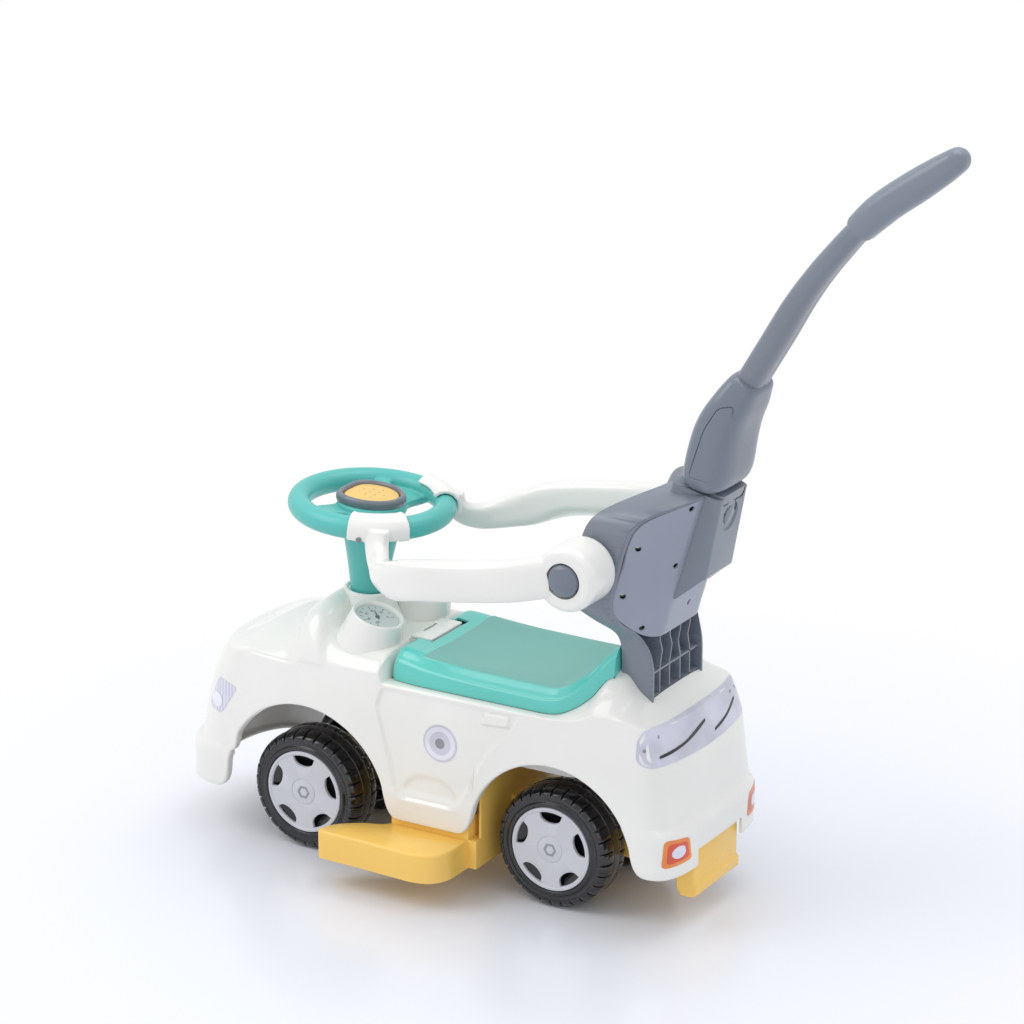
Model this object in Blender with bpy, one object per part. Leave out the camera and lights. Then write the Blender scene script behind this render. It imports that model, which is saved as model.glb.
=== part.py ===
"""Foot-to-floor ride-on car with a parent push handle and guard arms.

Metres, +Z up. The car drives towards -X, its left side is -Y, and it stands on Z = 0.
"""
import math

import bmesh
import bpy
import numpy as np
from mathutils import Matrix, Vector

mm = 0.001

# Faces that meet flatter than this, in degrees, become one
FLAT_ANGLE = 1.7

# Clearances
GAP = 0.4 * mm
BORE_GAP = 0.6 * mm
LID_GAP = 0.9 * mm
RUNNING = 1.0 * mm

# Wheels and axles
WHEEL_RADIUS = 70 * mm
WHEEL_WIDTH = 54 * mm
WHEELBASE = 322.6 * mm
TRACK = 127 * mm
TYRE_SIDES = 26
AXLE_RADIUS = 4 * mm
HUBCAP_RADIUS = 48.7 * mm
HUBCAP_THICKNESS = 3 * mm
HUBCAP_WINDOWS = 5
NUT_RADIUS = 10 * mm
NUT_LENGTH = 6 * mm

# Body shell
BODY_WALL = 4 * mm
NOSE_X = -333 * mm
TAIL_X = 325 * mm
BODY_HALF_WIDTH = 112 * mm
FRONT_HALF_WIDTH = 104 * mm
FRONT_CORNER = 70 * mm
REAR_CORNER = 42 * mm
BUMPER_BOTTOM_FRONT = 62 * mm
SILL_HEIGHT = 76 * mm
BUMPER_BOTTOM_REAR = 73 * mm
FRONT_ARCH_RADIUS = 111 * mm
REAR_ARCH_RADIUS = 104 * mm
FRONT_ARCH_SHIFT = 14 * mm
REAR_ARCH_SHIFT = 10.5 * mm
ARCH_RISE = 4 * mm
ARCH_FILLET = 14 * mm
ARCH_STEPS = 16
SEAT_RIM_HEIGHT = 229 * mm
SEAT_FRONT_X = -49 * mm
CATCH_HALF_WIDTH = 33 * mm
CATCH_REAR_X = -24 * mm
CATCH_HEIGHT = SEAT_RIM_HEIGHT + 30 * mm
CATCH_THICKNESS = 3.5 * mm
COWL_X = -150 * mm
DECK_CREST_X = 228 * mm
DOOR_DEPTH = 1.6 * mm

# Storage tub under the seat
TUB_FRONT_X = -22 * mm
TUB_REAR_X = 188 * mm
TUB_HALF_WIDTH = 68 * mm
TUB_FLOOR = 2 * WHEEL_RADIUS + 10 * mm
TUB_WALL = 2.5 * mm
TUB_CORNER = 20 * mm
TUB_FLANGE = 6 * mm
TUB_FLANGE_REAR_X = 147 * mm
TUB_FLANGE_THICKNESS = 1.6 * mm

# Seat lid
LID_WALL = 3 * mm
LID_FRONT_X = -44.5 * mm
LID_HALF_WIDTH = 92 * mm
LID_CREASE_HALF_WIDTH = 77 * mm
LID_REAR_X = 228 * mm
LID_HINGE_X = 226 * mm
LID_HINGE_HEIGHT = SEAT_RIM_HEIGHT + 73 * mm

# Floor pan and foot rests
PAN_WALL = 3 * mm
PAN_BOTTOM = 33 * mm
PAN_TOP = 67 * mm
PAN_FRONT_X = -33 * mm
PAN_REAR_X = 77 * mm
FOOTREST_REACH = 172 * mm
PAN_BACK_HEIGHT = 131 * mm
NECK_HALF_WIDTH = 30 * mm
TONGUE_HALF_WIDTH = 18 * mm
NECK_BOTTOM = 52 * mm
NECK_TOP = 96 * mm
TONGUE_TOP = 112 * mm
TONGUE_BOTTOM = 104 * mm
STOP_HALF_WIDTH = 51 * mm
STOP_TOP = 92 * mm
STOP_BOTTOM = 32 * mm
STOP_FRONT_X = 296 * mm
STOP_REAR_X = 319 * mm

# Steering
STEER_X = -128 * mm
STEER_HEIGHT = SEAT_RIM_HEIGHT + 67 * mm
STEER_TILT = math.radians(3.5)
RIM_HEIGHT = 100 * mm
RIM_RADIUS = 82 * mm
RIM_TUBE = 13 * mm
HUB_FLOOR = 15 * mm
COLUMN_FOOT_RADIUS = 21 * mm
COLUMN_HEAD_RADIUS = 33 * mm
SHAFT_RADIUS = 5 * mm
COLLAR_HEIGHT = 28 * mm
HORN_RADIUS = 38 * mm
HORN_HEIGHT = 13 * mm
HORN_FRAME = 7 * mm
HORN_TRAVEL = 2 * mm

# Gauge pods
POD_X = -83 * mm
POD_Y = 51 * mm
POD_HEIGHT = SEAT_RIM_HEIGHT + 58 * mm
POD_RADIUS = 31 * mm
POD_TILT = math.radians(18)
POD_RECESS = 4 * mm
DIAL_THICKNESS = 1 * mm

# Guard arms
PIVOT_X = 210 * mm
PIVOT_HEIGHT = SEAT_RIM_HEIGHT + 180 * mm
ARM_HEIGHT = 49 * mm
ARM_WIDTH = 28 * mm
ARM_Y = 151 * mm
ARM_DROP = 29 * mm
BOSS_RADIUS = 36 * mm
BOSS_OUTER_Y = 150 * mm
CUFF_ANGLE = math.radians(53.5)
CUFF_SPREAD = math.radians(20.5)
CUFF_WALL = 4 * mm
PIVOT_RADIUS = 9 * mm
BUTTON_RADIUS = 18 * mm

# Backrest
REST_WALL = 3 * mm
REST_HALF_WIDTH = 92 * mm
REST_FOOT_HALF_WIDTH = 57 * mm
REST_TOP = SEAT_RIM_HEIGHT + 263 * mm
REST_LEAN = math.radians(16)
REST_REAR_X = 269 * mm
REST_DEPTH = 38 * mm
REST_WRAP = 44 * mm
REST_WING = 34 * mm
REST_BELLY = 12 * mm
COVER_BOTTOM = SEAT_RIM_HEIGHT + 101 * mm
COVER_THICKNESS = 3 * mm
REST_BEND = COVER_BOTTOM - 10 * mm

# Push handle
SOCKET_HALF_WIDTH = 37 * mm
SOCKET_DEPTH = 50 * mm
SOCKET_TOP = REST_TOP - 14 * mm
SOCKET_BOTTOM = REST_TOP - 112 * mm
SOCKET_REAR_X = 335 * mm
SOCKET_WALL = 3.5 * mm
HANDLE_LEAN = math.radians(17)
TONGUE_LENGTH = 80 * mm
LOBE_WIDTH = 90 * mm
LOBE_DEPTH = 48 * mm
TUBE_WIDTH = 46 * mm
TUBE_DEPTH = 29 * mm
LOBE_END = 0.285
GRIP_START = 0.70
GRIP_WIDTH = 42 * mm
GRIP_DEPTH = 35 * mm

SIDES = {"left": -1, "right": 1}
FRONT_AXLE_X = -WHEELBASE / 2
REAR_AXLE_X = WHEELBASE / 2
WALL_INNER_Y = BODY_HALF_WIDTH - BODY_WALL - GAP


# Materials
def plastic(name, colour, roughness, metallic=0.0):
    material = bpy.data.materials.get(name)
    if material is None:
        material = bpy.data.materials.new(name)
        material.use_nodes = True
        shader = material.node_tree.nodes["Principled BSDF"]
        shader.inputs["Base Color"].default_value = (*colour, 1.0)
        shader.inputs["Roughness"].default_value = roughness
        shader.inputs["Metallic"].default_value = metallic
        material.diffuse_color = (*colour, 1.0)
    return material


def white():
    return plastic("white_plastic", (0.84, 0.83, 0.79), 0.22)


def teal():
    return plastic("teal_plastic", (0.09, 0.55, 0.45), 0.30)


def yellow():
    return plastic("yellow_plastic", (0.93, 0.58, 0.10), 0.30)


def grey():
    return plastic("grey_plastic", (0.19, 0.22, 0.25), 0.32)


def black():
    return plastic("black_plastic", (0.010, 0.010, 0.012), 0.18)


def silver():
    return plastic("light_grey_plastic", (0.60, 0.60, 0.63), 0.35)


def steel():
    return plastic("zinc_plated_steel", (0.55, 0.56, 0.58), 0.30, 1.0)


# Meshes from points
def clear_scene():
    for item in list(bpy.data.objects):
        bpy.data.objects.remove(item, do_unlink=True)


def object_from(name, bm, material=None):
    bmesh.ops.remove_doubles(bm, verts=bm.verts, dist=0.005 * mm)
    bmesh.ops.recalc_face_normals(bm, faces=bm.faces)
    mesh = bpy.data.meshes.new(name)
    bm.to_mesh(mesh)
    bm.free()
    item = bpy.data.objects.new(name, mesh)
    bpy.context.scene.collection.objects.link(item)
    if material is not None:
        mesh.materials.append(material)
    return item


def loft(rings, name="loft", material=None):
    """Closed skin through rings of equal length, with a flat cap at each end."""
    bm = bmesh.new()
    rows = []
    for ring in rings:
        rows.append([bm.verts.new(point) for point in ring])
    for lower, upper in zip(rows, rows[1:]):
        for index in range(len(lower)):
            after = (index + 1) % len(lower)
            bm.faces.new((lower[index], lower[after], upper[after], upper[index]))
    bm.faces.new(rows[0][::-1])
    bm.faces.new(rows[-1])
    return object_from(name, bm, material)


def prism(outline, axis, low, high, name="prism", material=None):
    """Outline of two coordinates, drawn out along the third axis."""
    rings = []
    for level in (low, high):
        ring = []
        for first, second in outline:
            if axis == "X":
                ring.append((level, first, second))
            elif axis == "Y":
                ring.append((first, level, second))
            else:
                ring.append((first, second, level))
        rings.append(ring)
    return loft(rings, name, material)


def box(x_range, y_range, z_range, name="box", material=None):
    outline = [(x_range[0], y_range[0]), (x_range[1], y_range[0]),
               (x_range[1], y_range[1]), (x_range[0], y_range[1])]
    return prism(outline, "Z", z_range[0], z_range[1], name, material)


def axis_matrix(origin, direction):
    """Frame at origin whose Z runs along direction."""
    turn = Vector((0, 0, 1)).rotation_difference(Vector(direction).normalized())
    return Matrix.Translation(Vector(origin)) @ turn.to_matrix().to_4x4()


def turned(profile, segments, name="turned", material=None, matrix=None, closed=False):
    """Turned piece from (radius, height) points; a closed profile leaves a bore."""
    bm = bmesh.new()
    rows = []
    for radius, height in profile:
        row = []
        for step in range(segments):
            angle = 2 * math.pi * step / segments
            point = Vector((radius * math.cos(angle), radius * math.sin(angle), height))
            row.append(bm.verts.new(matrix @ point if matrix else point))
        rows.append(row)
    pairs = list(zip(rows, rows[1:]))
    if closed:
        pairs.append((rows[-1], rows[0]))
    else:
        bm.faces.new(rows[0][::-1])
        bm.faces.new(rows[-1])
    for lower, upper in pairs:
        for step in range(segments):
            after = (step + 1) % segments
            bm.faces.new((lower[step], lower[after], upper[after], upper[step]))
    return object_from(name, bm, material)


def rod(start, end, radius, segments=16, name="rod", material=None):
    length = (Vector(end) - Vector(start)).length
    matrix = axis_matrix(start, Vector(end) - Vector(start))
    return turned([(radius, 0), (radius, length)], segments, name, material, matrix)


def rounded_rectangle(width, depth, radius, corner_steps=3):
    """Outline of 4 * (corner_steps + 1) points about the origin."""
    points = []
    for quarter, (sx, sy) in enumerate(((1, 1), (-1, 1), (-1, -1), (1, -1))):
        for step in range(corner_steps + 1):
            angle = math.pi / 2 * (quarter + step / corner_steps)
            points.append((sx * (width / 2 - radius) + radius * math.cos(angle),
                           sy * (depth / 2 - radius) + radius * math.sin(angle)))
    return points


def smooth_line(points, count):
    """Catmull-Rom curve through the points, sampled at count places."""
    points = [np.array(point, dtype=float) for point in points]
    padded = [2 * points[0] - points[1]] + points + [2 * points[-1] - points[-2]]
    spans = len(points) - 1
    samples = []
    for step in range(count):
        place = step / (count - 1) * spans
        span = min(int(place), spans - 1)
        t = place - span
        a, b, c, d = padded[span:span + 4]
        samples.append(0.5 * (2 * b + (c - a) * t + (2 * a - 5 * b + 4 * c - d) * t ** 2
                              + (3 * b - a - 3 * c + d) * t ** 3))
    return samples


def curve_value(x, stations, values):
    """Monotone cubic through (station, value) pairs, flat beyond the ends."""
    stations = np.asarray(stations, dtype=float)
    values = np.asarray(values, dtype=float)
    if x <= stations[0]:
        return float(values[0])
    if x >= stations[-1]:
        return float(values[-1])
    slopes = np.diff(values) / np.diff(stations)
    tangents = np.zeros(len(values))
    for index in range(1, len(values) - 1):
        before, after = slopes[index - 1], slopes[index]
        if before * after > 0:
            tangents[index] = 2 * before * after / (before + after)
    tangents[0], tangents[-1] = slopes[0], slopes[-1]
    index = int(np.searchsorted(stations, x)) - 1
    span = stations[index + 1] - stations[index]
    t = (x - stations[index]) / span
    return float((2 * t ** 3 - 3 * t ** 2 + 1) * values[index]
                 + (t ** 3 - 2 * t ** 2 + t) * span * tangents[index]
                 + (3 * t ** 2 - 2 * t ** 3) * values[index + 1]
                 + (t ** 3 - t ** 2) * span * tangents[index + 1])


# Booleans and finishing
def bake(item):
    """Replace the object's mesh by its evaluated one and drop the modifiers."""
    graph = bpy.context.evaluated_depsgraph_get()
    mesh = bpy.data.meshes.new_from_object(item.evaluated_get(graph))
    item.modifiers.clear()
    item.data = mesh


def combine(item, tool, operation="DIFFERENCE"):
    modifier = item.modifiers.new("cut", "BOOLEAN")
    modifier.operation = operation
    modifier.solver = "EXACT"
    modifier.object = tool
    bake(item)
    bpy.data.objects.remove(tool, do_unlink=True)
    return item


def cut(item, *tools):
    for tool in tools:
        combine(item, tool, "DIFFERENCE")
    return item


def join(item, *tools):
    for tool in tools:
        combine(item, tool, "UNION")
    return item


def bevel_edges(item, width, segments=1, angle=30):
    modifier = item.modifiers.new("bevel", "BEVEL")
    modifier.width = width
    modifier.segments = segments
    modifier.limit_method = "ANGLE"
    modifier.angle_limit = math.radians(angle)
    bake(item)
    return item


def finish(item, material, pivot=None):
    """Set the material, tidy the mesh, put the origin on the pivot and shade round faces."""
    bm = bmesh.new()
    bm.from_mesh(item.data)
    bmesh.ops.remove_doubles(bm, verts=bm.verts, dist=0.005 * mm)
    bmesh.ops.dissolve_degenerate(bm, edges=bm.edges, dist=0.005 * mm)
    bmesh.ops.dissolve_limit(bm, angle_limit=math.radians(FLAT_ANGLE), verts=bm.verts,
                             edges=bm.edges)
    bm.to_mesh(item.data)
    bm.free()
    item.data.materials.clear()
    item.data.materials.append(material)
    item.data.shade_smooth()
    item.data.set_sharp_from_angle(angle=math.radians(35))
    if pivot is not None:
        item.data.transform(Matrix.Translation(-Vector(pivot)))
        item.location = Vector(pivot)
    return item


# Steering axis
def steer_direction():
    return Vector((math.sin(STEER_TILT), 0, math.cos(STEER_TILT)))


def steer_point(distance):
    """Point on the steering axis, measured upwards from the collar's rim."""
    return Vector((STEER_X, 0, STEER_HEIGHT)) + steer_direction() * distance


def steer_matrix(distance=0.0):
    return axis_matrix(steer_point(distance), steer_direction())


# Body shell
def body_top(x, across):
    """Height of the upper skin; across runs from 0 on the centre line to 1 at the shoulder."""
    stations = [NOSE_X + 60 * mm, -250 * mm, -225 * mm, -200 * mm, COWL_X - 32 * mm,
                COWL_X - 15 * mm, COWL_X, COWL_X + 12 * mm, COWL_X + 24 * mm, -112 * mm,
                -85 * mm, SEAT_FRONT_X - 4 * mm, SEAT_FRONT_X + 3 * mm, 150 * mm, 165 * mm,
                185 * mm, 205 * mm, DECK_CREST_X - 4 * mm, DECK_CREST_X + 8 * mm, 255 * mm,
                270 * mm, TAIL_X - 33 * mm]
    # heights above the seat's rim
    edge = [3, 5, 5.5, 5, 4, 4, 5, 6, 7, 8,
            9, 10, 0, 0, 0, 2, 6, 12, 13, 14, 12, 6]
    centre = [3, 16, 27, 32, 37, 56, 67, 63, 43, 33,
              28.5, 27.5, 0, 0, 2, 14, 33, 56, 55, 36, 25, 6]
    power = [2, 2, 2, 2.2, 3, 4, 4.6, 4.6, 6, 8,
             8, 8, 6, 4, 4, 4, 4, 4, 4, 3.4, 3, 2]
    low = curve_value(x, stations, edge) * mm
    high = curve_value(x, stations, centre) * mm
    bulge = 1 - across ** curve_value(x, stations, power)
    return SEAT_RIM_HEIGHT + low + (high - low) * bulge


def body_outline():
    """Half outline at the bumpers, from the nose round the left side to the tail."""
    front_steps = 5
    rear_steps = 5
    squareness = 2 / 2.6
    tail_squareness = 2 / 3.6
    points = []
    front_centre = NOSE_X + FRONT_CORNER
    rear_centre = TAIL_X - REAR_CORNER
    for step in range(front_steps):
        angle = math.pi / 2 * step / front_steps
        points.append((front_centre - FRONT_CORNER * math.cos(angle) ** squareness,
                       FRONT_HALF_WIDTH * math.sin(angle) ** squareness))
    side = [front_centre, -236 * mm, -208 * mm, COWL_X - 32 * mm, COWL_X - 16 * mm,
            COWL_X, COWL_X + 13 * mm, -108 * mm, -82 * mm, SEAT_FRONT_X - 5 * mm,
            SEAT_FRONT_X + 4 * mm, 50 * mm, 150 * mm, 177 * mm, 204 * mm, DECK_CREST_X,
            243 * mm, 262 * mm, rear_centre]
    for x in side:
        width = curve_value(x, [front_centre, -200 * mm, -100 * mm],
                            [FRONT_HALF_WIDTH, BODY_HALF_WIDTH - 3 * mm, BODY_HALF_WIDTH])
        points.append((x, width))
    for step in range(1, rear_steps + 1):
        angle = math.pi / 2 * (1 - step / rear_steps)
        points.append((rear_centre + REAR_CORNER * max(math.cos(angle), 0) ** tail_squareness,
                       BODY_HALF_WIDTH * max(math.sin(angle), 0) ** tail_squareness))
    return points


def body_rings():
    """Half rings of the outer skin, from below the sill up to the centre line."""
    # front inset, side inset, rear inset, then how far below the seat's rim the level
    # is at front, side and rear
    levels = [(0, 0, 0, 184, 184, 184), (0, 0, 0, 131, 129, 117), (3, 0.6, 2, 122, 119, 106),
              (13, 1, 7, 117, 113, 100), (19, 1.2, 11, 91, 79, 75),
              (30, 2, 16, 54, 44, 37), (43, 4.5, 23, 22, 17, 11)]
    shoulder = (60, 9, 29)
    front_hinge = COWL_X
    rear_hinge = 180 * mm
    outline = body_outline()

    def shifted(point, insets):
        x, y = point
        if x < front_hinge:
            x = front_hinge + (x - front_hinge) * (1 - insets[0] * mm / (front_hinge - NOSE_X))
        elif x > rear_hinge:
            x = rear_hinge + (x - rear_hinge) * (1 - insets[2] * mm / (TAIL_X - rear_hinge))
        return x, y * (1 - insets[1] * mm / BODY_HALF_WIDTH)

    rings = []
    for level in levels:
        ring = []
        for point in outline:
            x, y = shifted(point, level)
            below = curve_value(point[0], [-260 * mm, -120 * mm, 140 * mm, 270 * mm],
                                [level[3], level[4], level[4], level[5]]) * mm
            ring.append((x, -y, SEAT_RIM_HEIGHT - below))
        rings.append(ring)
    spine_front = NOSE_X + 125 * mm
    spine_rear = TAIL_X - 62 * mm
    for across in (1.0, 0.92, 0.82, 0.68, 0.42, 0.0):
        ring = []
        for point in outline:
            x, y = shifted(point, shoulder)
            spine = min(max(x, spine_front), spine_rear)
            place = spine + (x - spine) * across
            ring.append((place, -y * across, body_top(place, across)))
        rings.append(ring)
    return rings


def body_solid(offset, name):
    """Closed solid of the body's outer form, grown or shrunk along its normals."""
    rings = body_rings()
    bm = bmesh.new()
    rows = []
    for ring in rings:
        near = [bm.verts.new(point) for point in ring]
        far = [bm.verts.new((x, -y, z)) for x, y, z in ring[-2:0:-1]]
        rows.append(near + far)
    count = len(rows[0])
    for lower, upper in zip(rows, rows[1:]):
        for index in range(count):
            after = (index + 1) % count
            bm.faces.new((lower[index], lower[after], upper[after], upper[index]))
    bmesh.ops.remove_doubles(bm, verts=bm.verts, dist=0.02 * mm)
    bmesh.ops.dissolve_degenerate(bm, edges=bm.edges, dist=0.02 * mm)
    rim = [edge for edge in bm.edges if edge.is_boundary]
    bmesh.ops.contextual_create(bm, geom=rim)
    bmesh.ops.triangulate(bm, faces=[face for face in bm.faces if len(face.verts) == 4])
    bmesh.ops.recalc_face_normals(bm, faces=bm.faces)
    base = rings[0][0][2]
    bottom = [vert for vert in bm.verts if vert.co.z < base + 0.1 * mm]
    flat = {vert: Vector((vert.normal.x, vert.normal.y, 0)).normalized() for vert in bottom}
    moves = [(vert, flat.get(vert, vert.normal).copy()) for vert in bm.verts]
    for vert, normal in moves:
        vert.co += normal * offset
    for vert in bottom:
        vert.co.z += offset * 4
    return object_from(name, bm)


def side_cut():
    """Outline, seen from the side, of everything below the sill and inside the arches."""
    low = -20 * mm
    far_front = NOSE_X - 30 * mm
    far_rear = TAIL_X + 30 * mm

    def arch(centre, radius, before, after):
        height = WHEEL_RADIUS + ARCH_RISE
        start = math.pi - math.asin((before - height) / radius)
        end = math.asin((after - height) / radius)
        arc = []
        for step in range(ARCH_STEPS + 1):
            angle = start + (end - start) * step / ARCH_STEPS
            arc.append((centre + radius * math.cos(angle), height + radius * math.sin(angle)))
        points = fillet((arc[0][0], before), -1, arc[0], arc[2])
        points += arc[3:-3]
        points += fillet((arc[-1][0], after), 1, arc[-1], arc[-3])[::-1]
        return points

    def fillet(corner, outward, first, inner):
        start = (corner[0] + outward * ARCH_FILLET, corner[1])
        points = []
        for step in range(5):
            t = step / 4
            points.append(tuple((1 - t) ** 2 * start[i] + 2 * t * (1 - t) * first[i]
                                + t ** 2 * inner[i] for i in (0, 1)))
        return points

    outline = [(far_front, low), (far_front, BUMPER_BOTTOM_FRONT)]
    outline += arch(FRONT_AXLE_X + FRONT_ARCH_SHIFT, FRONT_ARCH_RADIUS,
                    BUMPER_BOTTOM_FRONT, SILL_HEIGHT)
    outline += arch(REAR_AXLE_X + REAR_ARCH_SHIFT, REAR_ARCH_RADIUS,
                    SILL_HEIGHT, BUMPER_BOTTOM_REAR)
    outline += [(far_rear, BUMPER_BOTTOM_REAR), (far_rear, low)]
    return outline


def door_outline():
    """Door recess seen from the side, with heights below the seat's rim."""
    corners = [(-45, 5), (-51, 25), (-38, 69), (-28, 113), (-22, 125), (-12, 128),
               (44, 128), (55, 123), (78, 80), (92, 53), (116, 27), (123, 17), (126, 5)]
    return [(x * mm, SEAT_RIM_HEIGHT - below * mm) for x, below in corners]


def pod_matrix(side):
    direction = Vector((math.sin(POD_TILT), 0, math.cos(POD_TILT)))
    return axis_matrix((POD_X, side * POD_Y, POD_HEIGHT), direction)


def build_body():
    shell = body_solid(0.0, "body_shell")
    for side in SIDES.values():
        pod = turned([(POD_RADIUS + 13 * mm, -42 * mm), (POD_RADIUS + 8 * mm, -16 * mm),
                      (POD_RADIUS, 0)], 20, matrix=pod_matrix(side))
        join(shell, pod)
    collar = turned([(COLUMN_HEAD_RADIUS + 14 * mm, -COLLAR_HEIGHT - 12 * mm),
                     (COLUMN_HEAD_RADIUS + 5 * mm, -COLLAR_HEIGHT + 6 * mm),
                     (COLUMN_FOOT_RADIUS + 7 * mm, -6 * mm),
                     (COLUMN_FOOT_RADIUS + 5.5 * mm, 0)], 20, matrix=steer_matrix())
    join(shell, collar)
    cut(shell, body_solid(-BODY_WALL, "inner"))
    pedestal = box((SEAT_FRONT_X - 6 * mm, CATCH_REAR_X - GAP), (-CATCH_HALF_WIDTH, CATCH_HALF_WIDTH),
                   (SEAT_RIM_HEIGHT - 2 * mm, CATCH_HEIGHT - GAP))
    join(shell, pedestal)
    for side in SIDES.values():
        recess = turned([(POD_RADIUS - 3.5 * mm, -POD_RECESS), (POD_RADIUS - 3 * mm, 10 * mm)],
                        28, matrix=pod_matrix(side))
        hollow = turned([(POD_RADIUS + 9 * mm, -50 * mm), (POD_RADIUS - 4 * mm, -POD_RECESS - 4 * mm)],
                        20, matrix=pod_matrix(side))
        cut(shell, recess, hollow)
    hole = turned([(COLUMN_HEAD_RADIUS + 10 * mm, -60 * mm),
                   (COLUMN_HEAD_RADIUS + 1 * mm, -COLLAR_HEIGHT),
                   (COLUMN_FOOT_RADIUS + 2.5 * mm, -8 * mm),
                   (COLUMN_FOOT_RADIUS + 2.5 * mm, 20 * mm)], 20, matrix=steer_matrix())
    opening = prism(rounded_at(TUB_FRONT_X - GAP, TUB_REAR_X + GAP, TUB_HALF_WIDTH + GAP, TUB_CORNER),
                    "Z", SEAT_RIM_HEIGHT - 30 * mm, SEAT_RIM_HEIGHT + 90 * mm)
    cut(shell, hole, opening)
    cut(shell, prism(side_cut(), "Y", -BODY_HALF_WIDTH * 2, BODY_HALF_WIDTH * 2))
    cut(shell, box((STOP_FRONT_X - 20 * mm, TAIL_X + 20 * mm),
                   (-STOP_HALF_WIDTH - GAP, STOP_HALF_WIDTH + GAP),
                   (STOP_BOTTOM - 20 * mm, STOP_TOP + GAP)))
    for side in SIDES.values():
        reach = sorted((side * (BODY_HALF_WIDTH - 12 * mm), side * (BODY_HALF_WIDTH + 12 * mm)))
        door = prism(door_outline(), "Y", reach[0], reach[1])
        cut(door, body_solid(-DOOR_DEPTH, "door_floor"))
        cut(shell, door)
    return finish(shell, white())


def rounded_at(x_low, x_high, half_width, radius):
    """Rounded rectangle in plan between two X places."""
    centre = (x_low + x_high) / 2
    return [(centre + x, y) for x, y in rounded_rectangle(x_high - x_low, 2 * half_width, radius)]


# Storage tub and seat
def build_tub():
    outer = prism(rounded_at(TUB_FRONT_X, TUB_REAR_X, TUB_HALF_WIDTH, TUB_CORNER), "Z",
                  TUB_FLOOR, SEAT_RIM_HEIGHT + GAP + 1 * mm)
    flange = prism(rounded_at(TUB_FRONT_X - 1 * mm, TUB_FLANGE_REAR_X,
                              TUB_HALF_WIDTH + TUB_FLANGE, TUB_CORNER + 4 * mm), "Z",
                   SEAT_RIM_HEIGHT + GAP, SEAT_RIM_HEIGHT + GAP + TUB_FLANGE_THICKNESS)
    inner = prism(rounded_at(TUB_FRONT_X + TUB_WALL, TUB_REAR_X - TUB_WALL,
                             TUB_HALF_WIDTH - TUB_WALL, TUB_CORNER - 2 * mm), "Z",
                  TUB_FLOOR + TUB_WALL, SEAT_RIM_HEIGHT + 10 * mm)
    join(outer, flange)
    cut(outer, inner)
    outer.name = "storage_tub"
    return finish(outer, white())


def lid_sections(inset):
    """Cross sections of the lid from front to rear; inset gives the hollow inside it."""
    front = LID_FRONT_X
    stations = [front, front + 7 * mm, front + 24 * mm, -5 * mm, 40 * mm, 90 * mm, 140 * mm,
                160 * mm, 178 * mm, 195 * mm, 213 * mm, LID_REAR_X]
    knots = [front, front + 7 * mm, 0, 60 * mm, 150 * mm, 162 * mm, 177 * mm, 195 * mm,
             213 * mm, LID_REAR_X]
    # heights above the seat's rim, and how far the middle dips below them
    crest = [30, 33.5, 30, 27, 26, 27, 33, 47, 66, 81]
    dip = [0, 0.5, 3, 5, 5, 5, 5, 5, 4, 3]
    width = [0.90, 0.96, 1, 1, 1, 0.99, 0.96, 0.90, 0.83, 0.74]
    sections = []
    for station in stations:
        x = station
        if station == stations[0]:
            x += inset
        if station == stations[-1]:
            x -= inset
        top = SEAT_RIM_HEIGHT + curve_value(station, knots, crest) * mm
        hollow = curve_value(station, knots, dip) * mm
        narrow = curve_value(station, knots, width)
        crease = LID_CREASE_HALF_WIDTH * narrow - inset
        skirt = LID_HALF_WIDTH * narrow - inset
        foot = SEAT_RIM_HEIGHT - 12 * mm - 4 * inset
        half = [(0, top - hollow - inset), (crease * 0.5, top - 0.75 * hollow - inset),
                (crease * 0.86, top - inset), (crease, top - 2 * mm - inset),
                ((crease + skirt) / 2, top - 9 * mm - inset),
                (skirt, SEAT_RIM_HEIGHT + 9 * mm), (skirt, foot)]
        ring = [(x, -y, z) for y, z in half[::-1]]
        ring += [(x, y, z) for y, z in half[1:]]
        sections.append(ring)
    return sections


def build_seat():
    lid = loft(lid_sections(0.0), "seat_lid")
    cut(lid, loft(lid_sections(LID_WALL), "lid_hollow"))
    cut(lid, body_solid(LID_GAP, "lid_seat"))
    edge = CATCH_HALF_WIDTH + 1.5 * mm
    notch = box((SEAT_FRONT_X - 10 * mm, CATCH_REAR_X + 2 * mm), (-edge, edge),
                (SEAT_RIM_HEIGHT - 20 * mm, SEAT_RIM_HEIGHT + 60 * mm))
    cut(lid, notch)
    for side in SIDES.values():
        cut(lid, turned([(POD_RADIUS + 15 * mm, -42 * mm), (POD_RADIUS + 10 * mm, -16 * mm),
                         (POD_RADIUS + 2 * mm, 0), (POD_RADIUS + 2 * mm, 20 * mm)], 28,
                        matrix=pod_matrix(side)))
    pivot = (LID_HINGE_X, 0, LID_HINGE_HEIGHT)
    finish(lid, teal(), pivot=pivot)
    top = CATCH_HEIGHT + CATCH_THICKNESS
    latch = box((SEAT_FRONT_X - 3 * mm, CATCH_REAR_X - GAP), (-CATCH_HALF_WIDTH, CATCH_HALF_WIDTH),
                (CATCH_HEIGHT, top))
    bevel_edges(latch, 0.8 * mm)
    slot = box((SEAT_FRONT_X - 0.5 * mm, SEAT_FRONT_X + 2 * mm), (-15 * mm, 15 * mm),
               (top - 2.2 * mm, top + 5 * mm))
    cut(latch, slot)
    latch.name = "seat_latch"
    finish(latch, white())


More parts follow.
